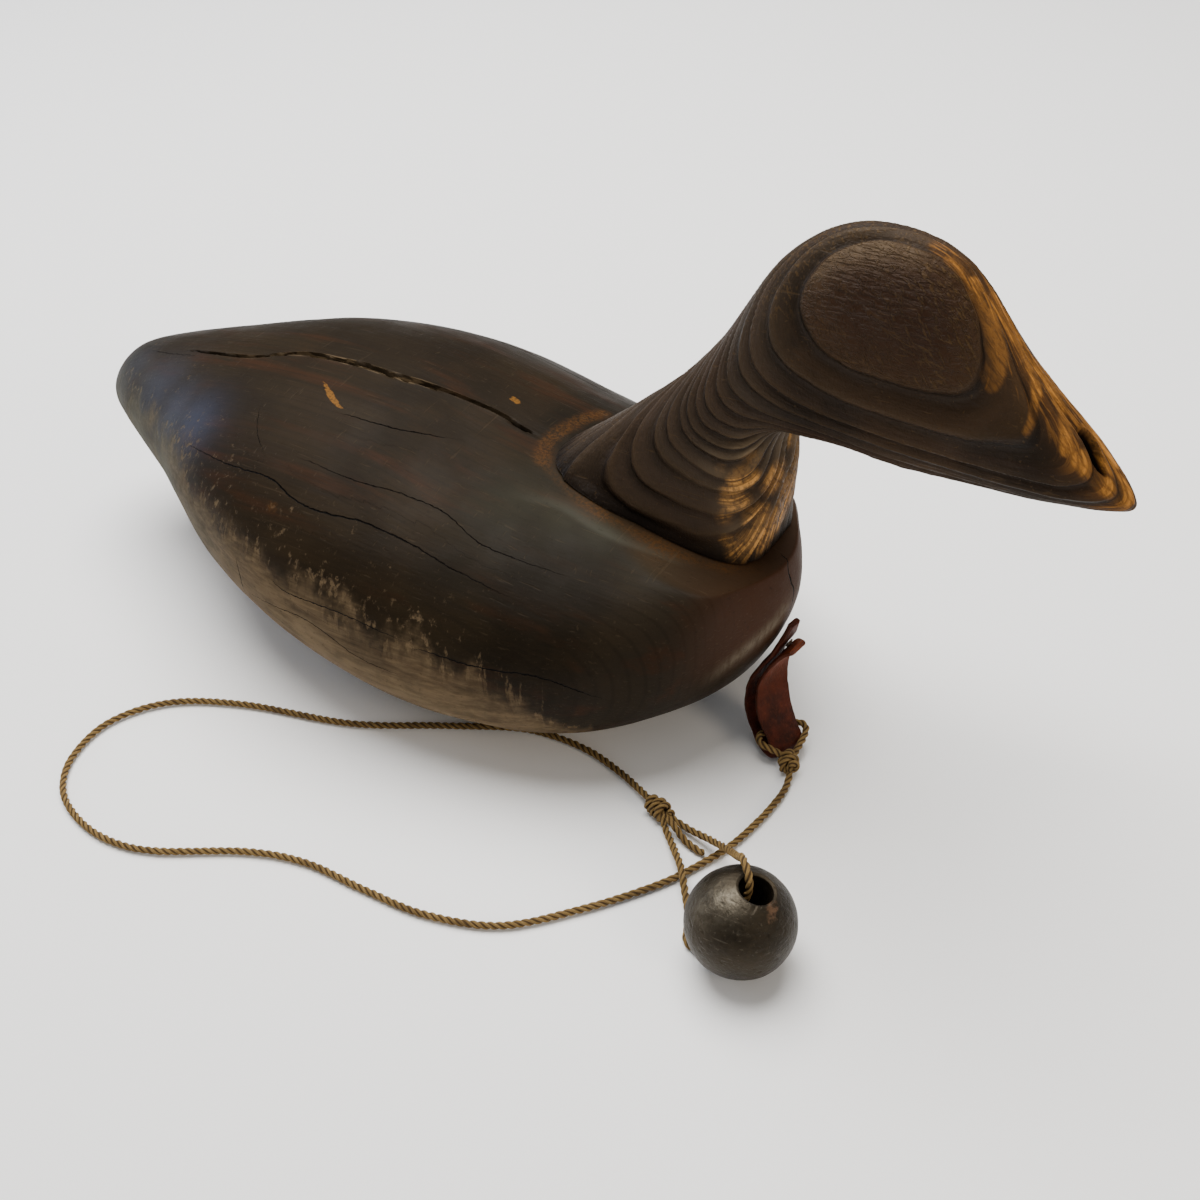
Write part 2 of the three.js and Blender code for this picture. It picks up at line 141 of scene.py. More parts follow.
# Normals of a grid that wraps round its sides: the cross product of the two central differences,
# turned to point away from the middles of its rings.
def gridNormals(points, middles):
    along = np.gradient(points, axis=0)
    around = np.roll(points, -1, 1) - np.roll(points, 1, 1)
    normals = unit(np.cross(along, around))
    return -normals if ((points - middles) * normals).sum() < 0 else normals


# Distance in mm along the surface to a drawn line, with its sign telling the side, and the share of the
# line at which the nearest point lies. The line is first smoothed into the given number of parts. The part of the
# offset along the normal counts only past the slack, so a line lying a little under the skin is still met.
def offLine(points, normals, line, parts=24, slack=7):
    line = through(line, np.linspace(0, 1, parts)) if parts else np.asarray(line, float)
    best = np.full(points.shape[:-1], 1e9)
    share = np.zeros_like(best)
    for i, (a, b) in enumerate(zip(line[:-1], line[1:])):
        run = b - a
        s = np.clip(((points - a) @ run) / (run @ run), 0, 1)
        off = points - a - s[..., None] * run
        deep = (off * normals).sum(-1)
        off = off - deep[..., None] * normals
        side = np.where((np.cross(run, off) * normals).sum(-1) < 0, -1, 1)
        d = np.hypot(np.linalg.norm(off, axis=-1), np.maximum(np.abs(deep) - slack, 0))
        nearer = d < np.abs(best)
        best = np.where(nearer, side * d, best)
        share = np.where(nearer, (i + s) / (len(line) - 1), share)
    return best, share


# Soft spots: the highest of exp(-(distance / radius)^2) * weight over a list of (x, y, z, radius, weight).
def spots(points, places):
    total = np.zeros(points.shape[:-1])
    for x, y, z, radius, weight in places:
        away = np.linalg.norm(points - np.array([x, y, z]), axis=-1)
        total = np.maximum(total, weight * bell(away, radius))
    return total


# Closed skin over rings of equal count: quads between neighbouring rings, wrapped round the sides, and a fan
# from the middle of the first and of the last ring. With looped set, the last ring meets the first instead.
# uv holds the distance along each ring in mm; the other coordinate is the share of the way round.
def skinMesh(name, rings, values, uv=None, looped=False, sharpAngle=None):
    count, sides = rings.shape[:2]
    points = rings.reshape(-1, 3)
    r, s = np.meshgrid(np.arange(count if looped else count - 1), np.arange(sides), indexing="ij")
    corners = [(r, s), (r, s + 1), (r + 1, s + 1), (r + 1, s)]
    quadRows, quadSides = (np.stack([c[k] for c in corners], -1).reshape(-1, 4) for k in range(2))
    quads = quadRows % count * sides + quadSides % sides
    fans, fanRows, fanSides = (np.zeros((0, 3), int) for _ in range(3))
    if not looped:
        points = np.vstack([points, rings[0].mean(0), rings[-1].mean(0)])
        k = np.arange(sides)
        k2 = (k + 1) % sides
        middle, base = np.full(sides, count * sides), (count - 1) * sides
        fans = np.vstack([np.stack([middle, k2, k], -1), np.stack([middle + 1, base + k, base + k2], -1)])
        fanRows = np.repeat([0, count - 1], sides)[:, None] + np.zeros((1, 3), int)
        fanSides = np.vstack([np.stack([k, k + 1, k], -1), np.stack([k, k, k + 1], -1)])
    a, b, c, d = (points[quads[:, i]] for i in range(4))
    volume = (np.cross(a, b) * c).sum() + (np.cross(a, c) * d).sum()
    volume += (np.cross(points[fans[:, 0]], points[fans[:, 1]]) * points[fans[:, 2]]).sum()
    if volume < 0:
        quads, quadRows, quadSides, fans, fanRows, fanSides = (
            rows[:, ::-1] for rows in (quads, quadRows, quadSides, fans, fanRows, fanSides)
        )
    mesh = bpy.data.meshes.new(name)
    mesh.vertices.add(len(points))
    mesh.vertices.foreach_set("co", (points * toMetres).astype(np.float32).ravel())
    loops = np.concatenate([quads.ravel(), fans.ravel()])
    mesh.loops.add(len(loops))
    mesh.loops.foreach_set("vertex_index", loops.astype(np.int32))
    starts = np.concatenate([np.arange(len(quads)) * 4, len(quads) * 4 + np.arange(len(fans)) * 3])
    mesh.polygons.add(len(starts))
    mesh.polygons.foreach_set("loop_start", starts.astype(np.int32))
    mesh.update(calc_edges=True)
    if uv is not None:
        rows = np.concatenate([quadRows.ravel(), fanRows.ravel()])
        turns = np.concatenate([quadSides.ravel(), fanSides.ravel()]) / sides
        layer = mesh.uv_layers.new(name="route")
        layer.data.foreach_set("uv", np.stack([uv[rows], turns], -1).astype(np.float32).ravel())
    for key, value in values.items():
        flat = value.reshape(-1)
        if not looped:
            flat = np.append(flat, [value[0].mean(), value[-1].mean()])
        attribute = mesh.attributes.new(key, "FLOAT", "POINT")
        attribute.data.foreach_set("value", flat.astype(np.float32))
    mesh.validate()
    mesh.shade_smooth()
    if sharpAngle:
        mesh.set_sharp_from_angle(angle=np.radians(sharpAngle))
    piece = bpy.data.objects.new(name, mesh)
    bpy.context.collection.objects.link(piece)
    return piece


def settle(piece, node):
    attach(piece, "root")
    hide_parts(node)
    return piece


twine = {
    "diameter": 2.8,
    "layLength": 9.0,  # one full turn of a strand
    "step": 0.55,
    "knotStep": 0.4,
    "sides": 18,
    "spread": 1.155,  # distance of a strand from the axis, in radii of the strand
    "groove": 0.62,  # depth at the bottom of the grooves as a share of the radius
    "uneven": 0.035,
    "taper": 1.2,  # length of the rounded tips
    "lowest": 1.45,  # height of the axis where the twine lies on the floor
}

# The routes of the model, in mm.
anchorRoute = [
    (128.4, -29.1, 3.2), (129, -31.8, 2.1), (129.7, -36.2, 1.5), (129.6, -43.1, 1.5), (128, -55.2, 1.5),
    (124, -71.5, 1.5), (116.3, -88.2, 1.5), (108, -101.5, 1.5), (91.4, -121.6, 1.5), (70.8, -140.8, 1.5),
    (45.4, -149.4, 1.5), (20.3, -150.9, 1.5), (-6.2, -151.3, 1.5), (-28.8, -157.8, 1.5), (-57.8, -173.4, 1.5),
    (-76.2, -177.9, 1.5), (-94, -176, 1.5), (-110.3, -168.2, 1.5), (-120.4, -153.5, 1.5), (-121.6, -132.4, 1.5),
    (-107.9, -112.1, 1.5), (-80.1, -98.4, 1.5), (-35.8, -86.7, 1.5), (-3.5, -70.6, 1.5), (23.2, -57.6, 1.5),
    (39, -54.2, 1.5), (55.8, -54.5, 1.5), (71.5, -58.6, 1.6), (81.4, -63, 2.6), (89.8, -67.4, 4),
]
weightRoute = [
    (99.2, -70.2, 2.8), (104.2, -71.4, 2.8), (109.2, -72.6, 3.2), (113.3, -73.5, 4), (117, -74.8, 5.4),
    (121.1, -76.8, 7.4), (125.2, -79.3, 10.2), (129.4, -82.7, 13.8), (133.2, -86.7, 18.2), (136.6, -90.9, 23.2),
    (139.1, -94.6, 28), (140.6, -97.9, 32.6), (141.9, -101.1, 36.9), (143.8, -103.7, 39.4), (146.3, -106.4, 39.9),
    (148.4, -108.7, 37.8), (149.1, -109.8, 33.9), (148.2, -110.2, 28.9), (146.5, -110.7, 23.8),
    (144.8, -111.3, 18.8), (143.9, -111.8, 13.8), (143.5, -112.4, 8.4), (142.1, -113.6, 3.6),
    (138.7, -115.9, 1.35), (135.5, -117.1, 1.45), (132.1, -116.9, 1.45), (129.2, -114.8, 1.45),
    (127.3, -110.2, 1.45), (125.1, -105.6, 1.7), (122.3, -101.4, 2.5), (119.3, -97.3, 3.5), (116.4, -93.3, 4.6),
    (113.2, -89.3, 4.8), (109.8, -85.6, 4), (106.4, -81.8, 2.9), (102.9, -78.2, 2.2), (99.2, -74.6, 2.2),
]
tailRoute = [(99.4, -72.9, 5.8), (103.4, -74.8, 4.4), (108, -76.6, 2.2), (112.8, -78, 1.5), (117.8, -78.9, 1.5)]


# Points an even step apart on the smooth curve through a route, and their distances from its start.
def evenPath(route, step):
    fine = through(route, np.linspace(0, 1, 60 * len(route)))
    gone = np.append(0, np.cumsum(np.linalg.norm(np.diff(fine, axis=0), axis=1)))
    marks = np.linspace(0, gone[-1], max(int(gone[-1] / step), 4) + 1)
    return np.stack([np.interp(marks, gone, fine[:, k]) for k in range(3)], -1), marks


# Two directions square to a path, carried from point to point without twisting:
# each is the one before with its part along the new tangent taken off.
def carriedFrames(path):
    tangents = unit(np.gradient(path, axis=0))
    start = np.cross(tangents[0], (0.3, 0.2, 1.0))
    sides = np.zeros_like(path)
    sides[0] = start / np.linalg.norm(start)
    for i in range(1, len(path)):
        side = sides[i - 1] - (sides[i - 1] @ tangents[i]) * tangents[i]
        sides[i] = side / np.linalg.norm(side)
    return sides, np.cross(tangents, sides)


# Three round strands laid into one twine. In a section, at the angle p from the middle of the nearest strand, the
# radius is b cos p + sqrt(a^2 - b^2 sin^2 p), with a the strand's radius and b its distance from the axis.
# The section turns once in each lay length, and the ends close to a rounded tip.
def layTwine(path, marks, s, phase):
    radius = s["diameter"] / 2
    a = radius / (1 + s["spread"])
    b = s["spread"] * a
    around = np.linspace(0, fullTurn, s["sides"], endpoint=False)
    sides, ups = carriedFrames(path)
    turned = around[None] - fullTurn * marks[:, None] / s["layLength"] + phase
    p = (turned + np.pi / 3) % (fullTurn / 3) - np.pi / 3
    strand = b * np.cos(p) + np.sqrt(np.maximum(a * a - (b * np.sin(p)) ** 2, 0))
    strand = np.maximum(strand, s["groove"] * radius)
    onLine = np.stack([marks, marks * 0, marks * 0 + phase], -1)
    strand = strand * (1 + s["uneven"] * cloud(onLine, 3.1, 5))[:, None]
    left = np.clip(np.minimum(marks, marks[-1] - marks) / s["taper"], 0, 1)
    reach = strand * np.sqrt(np.clip(1 - (1 - left) ** 2, 0.02, 1))[:, None]
    rings = path[:, None] + reach[..., None] * (
        np.cos(around)[None, :, None] * sides[:, None] + np.sin(around)[None, :, None] * ups[:, None]
    )
    return rings, easeIn(strand / radius, s["groove"] + 0.02, 0.93)


# Twine along a route, with the path and the length it was laid at.
def twinePiece(name, route, phase, step=twine["step"]):
    path, marks = evenPath(route, step)
    rings, ridge = layTwine(path, marks, twine, phase)
    return skinMesh(name, rings, {"ridge": ridge}, uv=marks), path, marks[-1]


anchorLine, anchorPath, anchorLength = twinePiece("anchorLine", anchorRoute, 0.4)
weightLine, weightPath, weightLength = twinePiece("weightLine", weightRoute, 1.3)
knotTail, _, _ = twinePiece("knotTail", tailRoute, 0.9)
settle(anchorLine, "anchor_line")
settle(weightLine, "weight_line")
settle(knotTail, "knot_tail")

# Wraps of a knot, and the strands that run through it, each with its phase.
lineKnot = {
    "at": (94.2, -69.4, 4), "heading": -24, "radius": 2.75, "wraps": 3.2, "pitch": 2.75, "slant": 0.5, "phase": 0.2,
    "strands": [
        ([(88.6, -66.9, 4.0), (91.5, -68.2, 4.1), (94.2, -69.4, 4.1), (97, -70.6, 3.6), (99.9, -71.6, 3.0)], 0.7),
        ([(93.4, -69.2, 4.2), (96, -71.4, 3.8), (98.2, -73.6, 3.0), (99.8, -75.2, 2.3)], 1.1),
    ],
}
bightRoute = [
    (125.4, -24.6, 4.4), (121.8, -25.4, 6.6), (118.4, -26.2, 8.2), (114, -25.6, 8.8), (112.2, -21, 8.2),
    (115.9, -14, 7.7), (119.9, -9.2, 8.0), (123.4, -7.8, 8.0), (125.8, -9.4, 7.2), (126.5, -14.8, 6.0),
    (126.3, -22.6, 4.6),
]
loopKnot = {
    "at": (126.2, -25.9, 4.3), "heading": -56, "radius": 2.8, "wraps": 2.3, "pitch": 2.75, "slant": -0.5, "phase": 1.9,
    "strands": [(bightRoute, 0.5), ([(125.0, -22.8, 4.4), (126.2, -25.9, 4.3), (128.6, -29.3, 3.2)], 0.1)],
}


# Helix about a level line with the given heading: at the angle q it stands radius from the line, and the wraps
# move on by pitch each turn, leaning by slant. Its two ends tuck in under the wraps, and it stays over the floor.
def wrapRoute(s):
    q = np.linspace(0, fullTurn * s["wraps"], int(14 * s["wraps"]))
    share = q / q[-1]
    tuck = 1 - 0.55 * (easeIn(share, 0.9, 1) + easeIn(1 - share, 0.9, 1))
    heading = np.radians(s["heading"])
    along = np.array([np.cos(heading), np.sin(heading), 0])
    side = np.array([-np.sin(heading), np.cos(heading), 0])
    run = s["pitch"] * s["wraps"] * (share - 0.5) + s["slant"] * np.cos(q)
    radius = s["radius"] * tuck
    route = np.array(s["at"]) + run[:, None] * along + (radius * np.cos(q))[:, None] * side
    route[:, 2] = np.maximum(route[:, 2] + radius * np.sin(q), twine["lowest"])
    return route


def makeKnot(name, s):
    routes = [(wrapRoute(s), s["phase"])] + s["strands"]
    parts = [twinePiece(name, route, phase, twine["knotStep"])[0] for route, phase in routes]
    bpy.ops.object.select_all(action="DESELECT")
    for part in parts:
        part.select_set(True)
    bpy.context.view_layer.objects.active = parts[0]
    bpy.ops.object.join()
    return parts[0]


knotOfLine = settle(makeKnot("knotOfLine", lineKnot), "line_knot")
knotOfLoop = settle(makeKnot("knotOfLoop", loopKnot), "loop_knot")


report("twine laid")

leadBall = {
    "centre": (147.7, -112, 19),
    "radius": 18.95,
    "bore": 6.0,
    "axis": (0.237, 0.121, 0.963),
    "rimRound": 1.0,
    "rimFlat": 0.55,  # height of a rim's curve as a share of its width
    "rimRows": 12,
    "rows": 300,
    "sides": 260,
    "seam": 0.14,  # height of the casting seam
    "seamSquare": (0.62, -0.33, 0.25),  # direction square to the seam
    "dents": [(0.26, 10.5, 3), (0.06, 4.4, 4), (0.04, 1.5, 6)],
    "pits": [(2.2, 8), (1.2, 9)],  # size in mm, seed
    "pitDepth": 0.12,
    # places are counted from the ball's centre
    "nubs": [(-3.0, -4.2, -18.0, 1.7, 1), (7.5, -6.5, 15.2, 1.2, 0.5)],
    "oxide": [(11.1, -1, 15.4, 3.6, 0.85), (12.5, -4, 13.5, 3, 0.6), (8, 12, 9, 5, 0.6), (-12, 9, -9, 5, 0.5)],
    "shine": [(-3.5, -6.5, 17, 6.5, 1), (-8, -9, 13, 6, 0.6)],
}


# Cast ball as a ring profile turned about the bore: outside the radius is r and the angle from the axis runs from
# rim to rim, inside a straight wall returns, and both rims are rounded. Soft dents, pits and a thin seam are added
# along the normals.
def makeBall(s):
    axis = unit(np.array(s["axis"]))
    side = unit(np.cross(axis, (0, 1, 0)))
    other = np.cross(axis, side)
    r, bore, soft = s["radius"], s["bore"], s["rimRound"]
    outerRows = s["rows"] * 2 // 3
    edge = np.arcsin((bore + soft) / r)
    outer = np.linspace(edge, np.pi - edge, outerRows)
    low, rise = -r * np.cos(edge), soft * s["rimFlat"]
    turn = np.linspace(0, 1, s["rimRows"])[1:-1]
    lowRim = np.stack([bore + soft * (1 - np.sin(turn * np.pi / 2)), low + rise * turn], -1)
    wall = np.linspace(low + rise, -low - rise, s["rows"] - 2 * len(turn) - outerRows)
    inner = np.stack([np.full(len(wall), bore), wall], -1)
    shell = np.stack([r * np.sin(outer), r * np.cos(outer)], -1)
    profile = np.vstack([shell, lowRim, inner, lowRim[::-1] * (1, -1)])
    turns = np.linspace(0, fullTurn, s["sides"], endpoint=False)
    ring = np.cos(turns)[:, None] * side + np.sin(turns)[:, None] * other
    points = profile[:, None, :1] * ring[None] + profile[:, None, 1:] * axis
    outside = easeIn(np.linalg.norm(points, axis=-1), r - 3.2, r - 0.6)
    pits = sum(s["pitDepth"] * easeIn(cloud(points, size, seed), 0.55, 0.85) for size, seed in s["pits"])
    seam = s["seam"] * bell(points @ unit(np.array(s["seamSquare"])), 0.5) * (0.6 + 0.4 * cloud(points, 6, 12))
    raised = clouds(points, s["dents"]) - pits + seam + 0.5 * spots(points, s["nubs"]) - 0.2
    moved = points + unit(points) * (outside * raised)[..., None] + np.array(s["centre"])
    moved[..., 2] = np.maximum(moved[..., 2], 0.02)
    values = {
        "pits": pits * outside,
        # painted shade inside the bore
        "inside": 1 - outside,
        "oxide": spots(points, s["oxide"]),
        "shine": spots(points, s["shine"]),
    }
    return skinMesh("leadBall", moved, values, looped=True)


castBall = settle(makeBall(leadBall), "lead_ball")
report("ball cast")

# x, half width, top, bottom, height of the widest line, powers of the upper and lower half
bodyStations = [
    (-222, 0, 63.5, 63.5, 63.5, 2, 2), (-216, 12, 73, 54, 62.5, 2, 2), (-201, 22.5, 85.5, 43.5, 63.5, 2, 2),
    (-162, 43, 97, 24.5, 64.5, 2.1, 2.1), (-112, 72, 104.5, 8, 62.5, 2.3, 2.2), (-58, 88, 104, -1.5, 56, 2.2, 2.3),
    (-2, 89.5, 93.5, -4, 44.5, 2.2, 2.3), (50, 77.5, 88.5, -0.5, 45, 2.2, 2.2), (86, 54, 90, 15, 54, 2.2, 2.2),
    (102, 29.5, 90, 28.5, 64.5, 2.3, 2), (114, 0, 63, 63, 63, 2.2, 2),
]
body = {
    "rows": 300,
    "sides": 316,
    "crowd": 0.6,  # how much closer the lines lie along the back than on average
    "shelfHeight": 85.35,
    "shelfMiddle": 58,
    "shelfFall": 0.145,
    "shelfRear": -2,
    "ridgeRound": 1.0,
    "drawnIn": 0.25,  # how far the skin lies inside the solid's
    "waves": [(0.45, 46, 21), (0.18, 19, 22)],
    "grain": [(0.1, 5, 23)],
    "checkLine": [(-166, -9), (-132, -10), (-110, -1), (-94, 2), (-62, 4), (-32, 8), (-19, 9), (2, 7)],
    "checkHalf": 1.5,
    "checkDepth": 7.5,
    "checkWander": [(0.55, 9, 31), (0.25, 3.5, 32)],
    "lipHeight": 0.25,
    "lipWidth": 1.6,
    "dustLine": [(8, -3, 92.6), (4.5, 6, 92.4), (4.8, 16, 92), (6.4, 28, 90.3), (9.5, 40, 87)],
    # line of the painted highlight along the shelf's ridge
    "ridgeLine": [
        (12, -27, 90), (27.6, -23.4, 88.7), (43.2, -26.1, 86.9), (56.9, -27.2, 85.5), (69.1, -25.9, 83.7), (80, -25, 82.2),
    ],
    # line of the wear with a painted highlight down the breast
    "breastLine": [
        (113.2, -5.2, 63.5), (112.4, -7.4, 59.6), (111.2, -9.6, 56.2), (109.3, -13.4, 53.9), (106.6, -17.8, 50.6),
        (103.9, -22, 48), (100.5, -28, 45), (97, -34, 43),
    ],
    "footLine": [
        (10, -6, 92), (28, -14.5, 89.6), (49, -19, 86.7), (66, -20.5, 84.2), (83.4, -20.5, 81.7), (93, -18, 80.2),
    ],
    "freshLine": [(-88, -13.2, 104.8), (-81.9, -17.8, 104.4), (-74.5, -22.8, 103.8), (-67.7, -25.4, 103.1)],
    # x and height at which the bare lower side begins; on the far side it lies lower
    "bareEdge": [
        (-222, 70), (-165, 78), (-149, 81), (-128, 84), (-113, 82), (-92, 78), (-69, 76), (-52, 74), (-32, 68),
        (-7, 62), (14, 58), (35, 49), (52, 42), (65, 34), (80, 22), (100, 14), (114, 10),
    ],
    "farLower": 6,
    "spots": {
        "fresh": [(-20.4, 21.7, 95.9, 2.1, 1), (-19.2, 20.9, 95.9, 1.8, 1)],
        "rust": [
            (-69.7, -71.3, 86.1, 2.6, 0.9), (97, -12, 80, 9, 0.55), (40, -20, 87.5, 9, 0.4), (70, -24, 83.5, 12, 0.45),
            (-110, 3, 103, 16, 0.3),
        ],
        "shade": [(34, -57, 79, 21, 1), (8, -64, 79, 18, 0.7), (-18, -70, 76, 14, 0.3)],
        "sheen": [(-131, -47.7, 90.4, 15, 1), (-148, -42, 86, 15, 0.9), (-170, -32, 82, 18, 0.8), (-196, -16, 82, 14, 0.4)],
        # painted green-grey highlight by the shelf's ridge and along the tail's lower edge
        "greenishHighlight": [
            (31, -29, 87, 14, 0.7), (47, -27, 86.5, 12, 0.7), (13, -30, 89.5, 18, 0.6), (70, -30, 83.5, 12, 0.4),
            (-205, -14, 66, 22, 1), (-180, -30, 62, 26, 1), (-150, -46, 60, 28, 1), (-120, -62, 50, 24, 0.7),
        ],
    },
}
bodyCracks = [
    # half width in mm, points of the line
    (0.42, [
        (-124.4, -55.4, 87.1), (-103.4, -61.1, 90), (-90.4, -62.4, 91.2), (-75.6, -62.8, 91.7), (-63.3, -66.5, 89.4),
        (-50.6, -67.2, 88.1), (-33.8, -63.8, 87.1), (-24, -63.1, 85.6), (-9.9, -62.5, 82.9), (4.7, -63.5, 79.7),
        (26.8, -63.5, 76.1),
    ]),
    (0.22, [
        (-67.4, -51.8, 96.8), (-46.3, -52, 94.6), (-26.9, -47.9, 92.1), (-7.5, -46.4, 88.5), (12.6, -51.4, 83.8),
        (42.9, -48.9, 81),
    ]),
    (0.34, [(-67.1, -26.9, 102.8), (-46.1, -23.9, 101), (-27.4, -16.3, 97.7)]),
    (0.24, [(-62.4, -85.7, 64.8), (-55.6, -87, 62.5), (-28.7, -88, 62.8), (-3.5, -86.5, 59)]),
    (0.34, [(3.6, -86, 57.7), (29, -82, 55.7), (49.6, -75.9, 55.4), (69.1, -66.8, 46.8)]),
    (0.26, [(-78.7, -82.1, 48.5), (-49.5, -89, 53.7), (-36.7, -89.9, 51.7), (-22.1, -90.1, 46), (-4.8, -89.5, 44)]),
    (0.3, [(-83.8, -81.6, 62.6), (-83.6, -81.5, 55.2), (-85.2, -80, 46)]),
    (0.16, [(-189.9, -8, 88.5), (-175, -11, 93), (-157.8, -12.2, 96.8)]),
    (0.45, [(107.4, 1.2, 78.2), (111.2, -2.2, 75.1), (113.4, -2.4, 70), (113.6, -1.3, 66.4), (112.8, -1.8, 55)]),
    (0.12, [(-101, -37.9, 100.8), (-95.2, -46.6, 98.3), (-86.8, -54.1, 96.2)]),
    (0.36, [(-120, 48, 92), (-84, 62, 91), (-40, 66, 86), (2, 64, 79)]),
    (0.3, [(-60, 84, 66), (-20, 87, 62), (30, 82, 58)]),
]


def shelfAt(x, s=body):
    return s["shelfHeight"] - s["shelfFall"] * (x - s["shelfMiddle"])


# Rows of station values at the shares t along the hull. The guide row past each end is the neighbour turned over,
# so the nose and the tail close roundly.
def bodyRows(t):
    def turnedOver(row):
        x, w, top, bottom, widest, up, low = row
        return (x, -w, bottom, top, widest, up, low)

    return through(bodyStations, t, turnedOver(bodyStations[1]), turnedOver(bodyStations[-2]))


# Hull sections: at the angle a from the top, the point is w * sin a across and the reach above or below the widest
# line is cos a, both squared off by the section's power. Lines crowd together along the back by a - crowd * sin a,
# and one of them follows the long check. The shelf and the floor cut the sections flat.
def makeBody(s):
    even = np.linspace(0.004, 0.996, s["rows"])
    t = ((1 - np.cos(np.pi * even)) / 2 + even) / 2
    x, w, top, bottom, widest, up, low = (column[:, None] for column in bodyRows(t).T)
    w = np.maximum(w, 0)
    u = np.linspace(-np.pi, np.pi, s["sides"], endpoint=False)[None]
    a = u - s["crowd"] * np.sin(u)
    check = np.array(s["checkLine"], float)
    fine = through(check, np.linspace(0, 1, 200))
    checkY = np.interp(x, fine[:, 0], fine[:, 1])
    lean = -np.sign(checkY) * np.arcsin(np.clip(np.abs(checkY) / np.maximum(w, 15), 0, 0.9) ** (up / 2))
    a = a + lean * bell(a, 0.75)
    power = np.where(np.cos(a) > 0, up, low)
    c = squared(np.cos(a), power)
    reach = np.where(c > 0, top - widest, widest - bottom)
    y = -w * squared(np.sin(a), power)
    points = np.stack([x + 0 * y, y, widest + reach * c], -1)
    normals = gridNormals(points, np.stack([x, 0 * x, widest], -1))
    # cut flat by the shelf, with a rounded ridge
    over = points[..., 2] - shelfAt(points[..., 0])
    onShelf = easeIn(points[..., 0], s["shelfRear"] - 6, s["shelfRear"] + 10)
    k = s["ridgeRound"]
    eased = np.where(over > k, over, np.where(over < -k, 0, (over + k) ** 2 / (4 * k)))
    points[..., 2] -= eased * onShelf
    shelf = easeIn(over * onShelf, -0.6, 2.2)
    # carver's flats, soft waves and grain
    waves = clouds(points, s["waves"]) + clouds(points * (0.25, 1, 1), s["grain"])
    settled = easeIn(points[..., 2], 0.0, 6) * (1 - 0.8 * shelf)
    points = points + normals * (waves * settled - s["drawnIn"])[..., None]
    # long check along the back
    onBack = np.cos(a) > 0.5
    alongBack = points * (1, 0, 0)
    off = points[..., 1] - checkY - clouds(alongBack, s["checkWander"])
    span = np.clip((x - check[0, 0]) / (check[-1, 0] - check[0, 0]), 0, 1)
    opened = np.sqrt(swell(span, 1, 0)) * (0.86 + 0.24 * cloud(alongBack, 14, 33))
    half = s["checkHalf"] * opened + 0.05
    within = np.clip(1 - np.abs(off) / half, 0, 1) * onBack * ((span > 0) & (span < 1))
    sunk = s["checkDepth"] * opened * within**0.6
    lip = s["lipHeight"] * opened * bell(np.abs(off) - half, s["lipWidth"]) * onBack
    points[..., 2] = np.maximum(points[..., 2] - sunk + lip * (within == 0), 0.0)
    # drawn cracks and colour fields
    crack, width = np.full(points.shape[:2], 9.0), np.zeros(points.shape[:2])
    for halfWidth, line in bodyCracks:
        d, share = offLine(points, normals, line, 5 * len(line))
        nearer = np.abs(d) < np.abs(crack)
        crack = np.where(nearer, d, crack)
        width = np.where(nearer, halfWidth * swell(share), width)
    fresh, freshShare = offLine(points, normals, s["freshLine"], 16)
    dust, _ = offLine(points, normals, s["dustLine"], 16)
    ridge, ridgeShare = offLine(points, normals, s["ridgeLine"])
    breast, breastShare = offLine(points, normals, s["breastLine"])
    foot, _ = offLine(points, normals, s["footLine"])
    edgeHeight = np.interp(points[..., 0], *np.array(s["bareEdge"], float).T)
    bare = edgeHeight - points[..., 2] - np.where(points[..., 1] > 0, s["farLower"], 0)
    values = {key: spots(points, places) for key, places in s["spots"].items()}
    values["fresh"] = easeIn(1.5 * swell(freshShare, 1) - np.abs(fresh), -0.8, 1.0) + 1.2 * values["fresh"]
    values["rust"] = values["rust"] + bell(dust, 4.0) + 0.5 * bell(foot, 3.2)
    values |= {
        "crack": crack,
        "crackHalf": width,
        # depth of the check, painted dark as its shade
        "check": easeIn(sunk, 0.05, 2.5),
        # raised lip of the check, painted lighter as bare wood with a highlight
        "lip": lip,
        "bare": bare - 60 * easeIn(points[..., 0], 45, 95),
        "shelf": shelf,
        # painted highlight along the shelf's ridge
        "ridgeHighlight": bell(ridge, np.where(ridge < 0, 1.3, 3.6)) * swell(ridgeShare, 0.6),
        # wear with a painted highlight down the breast
        "breastWearAndHighlight": bell(breast, 3.8) * swell(breastShare),
        "breast": easeIn(points[..., 0], 84, 108) * easeIn(points[..., 2], 30, 52),
    }
    return skinMesh("decoyBody", points, values, sharpAngle=60)


decoyBody = settle(makeBody(body), "body")
report("body carved")

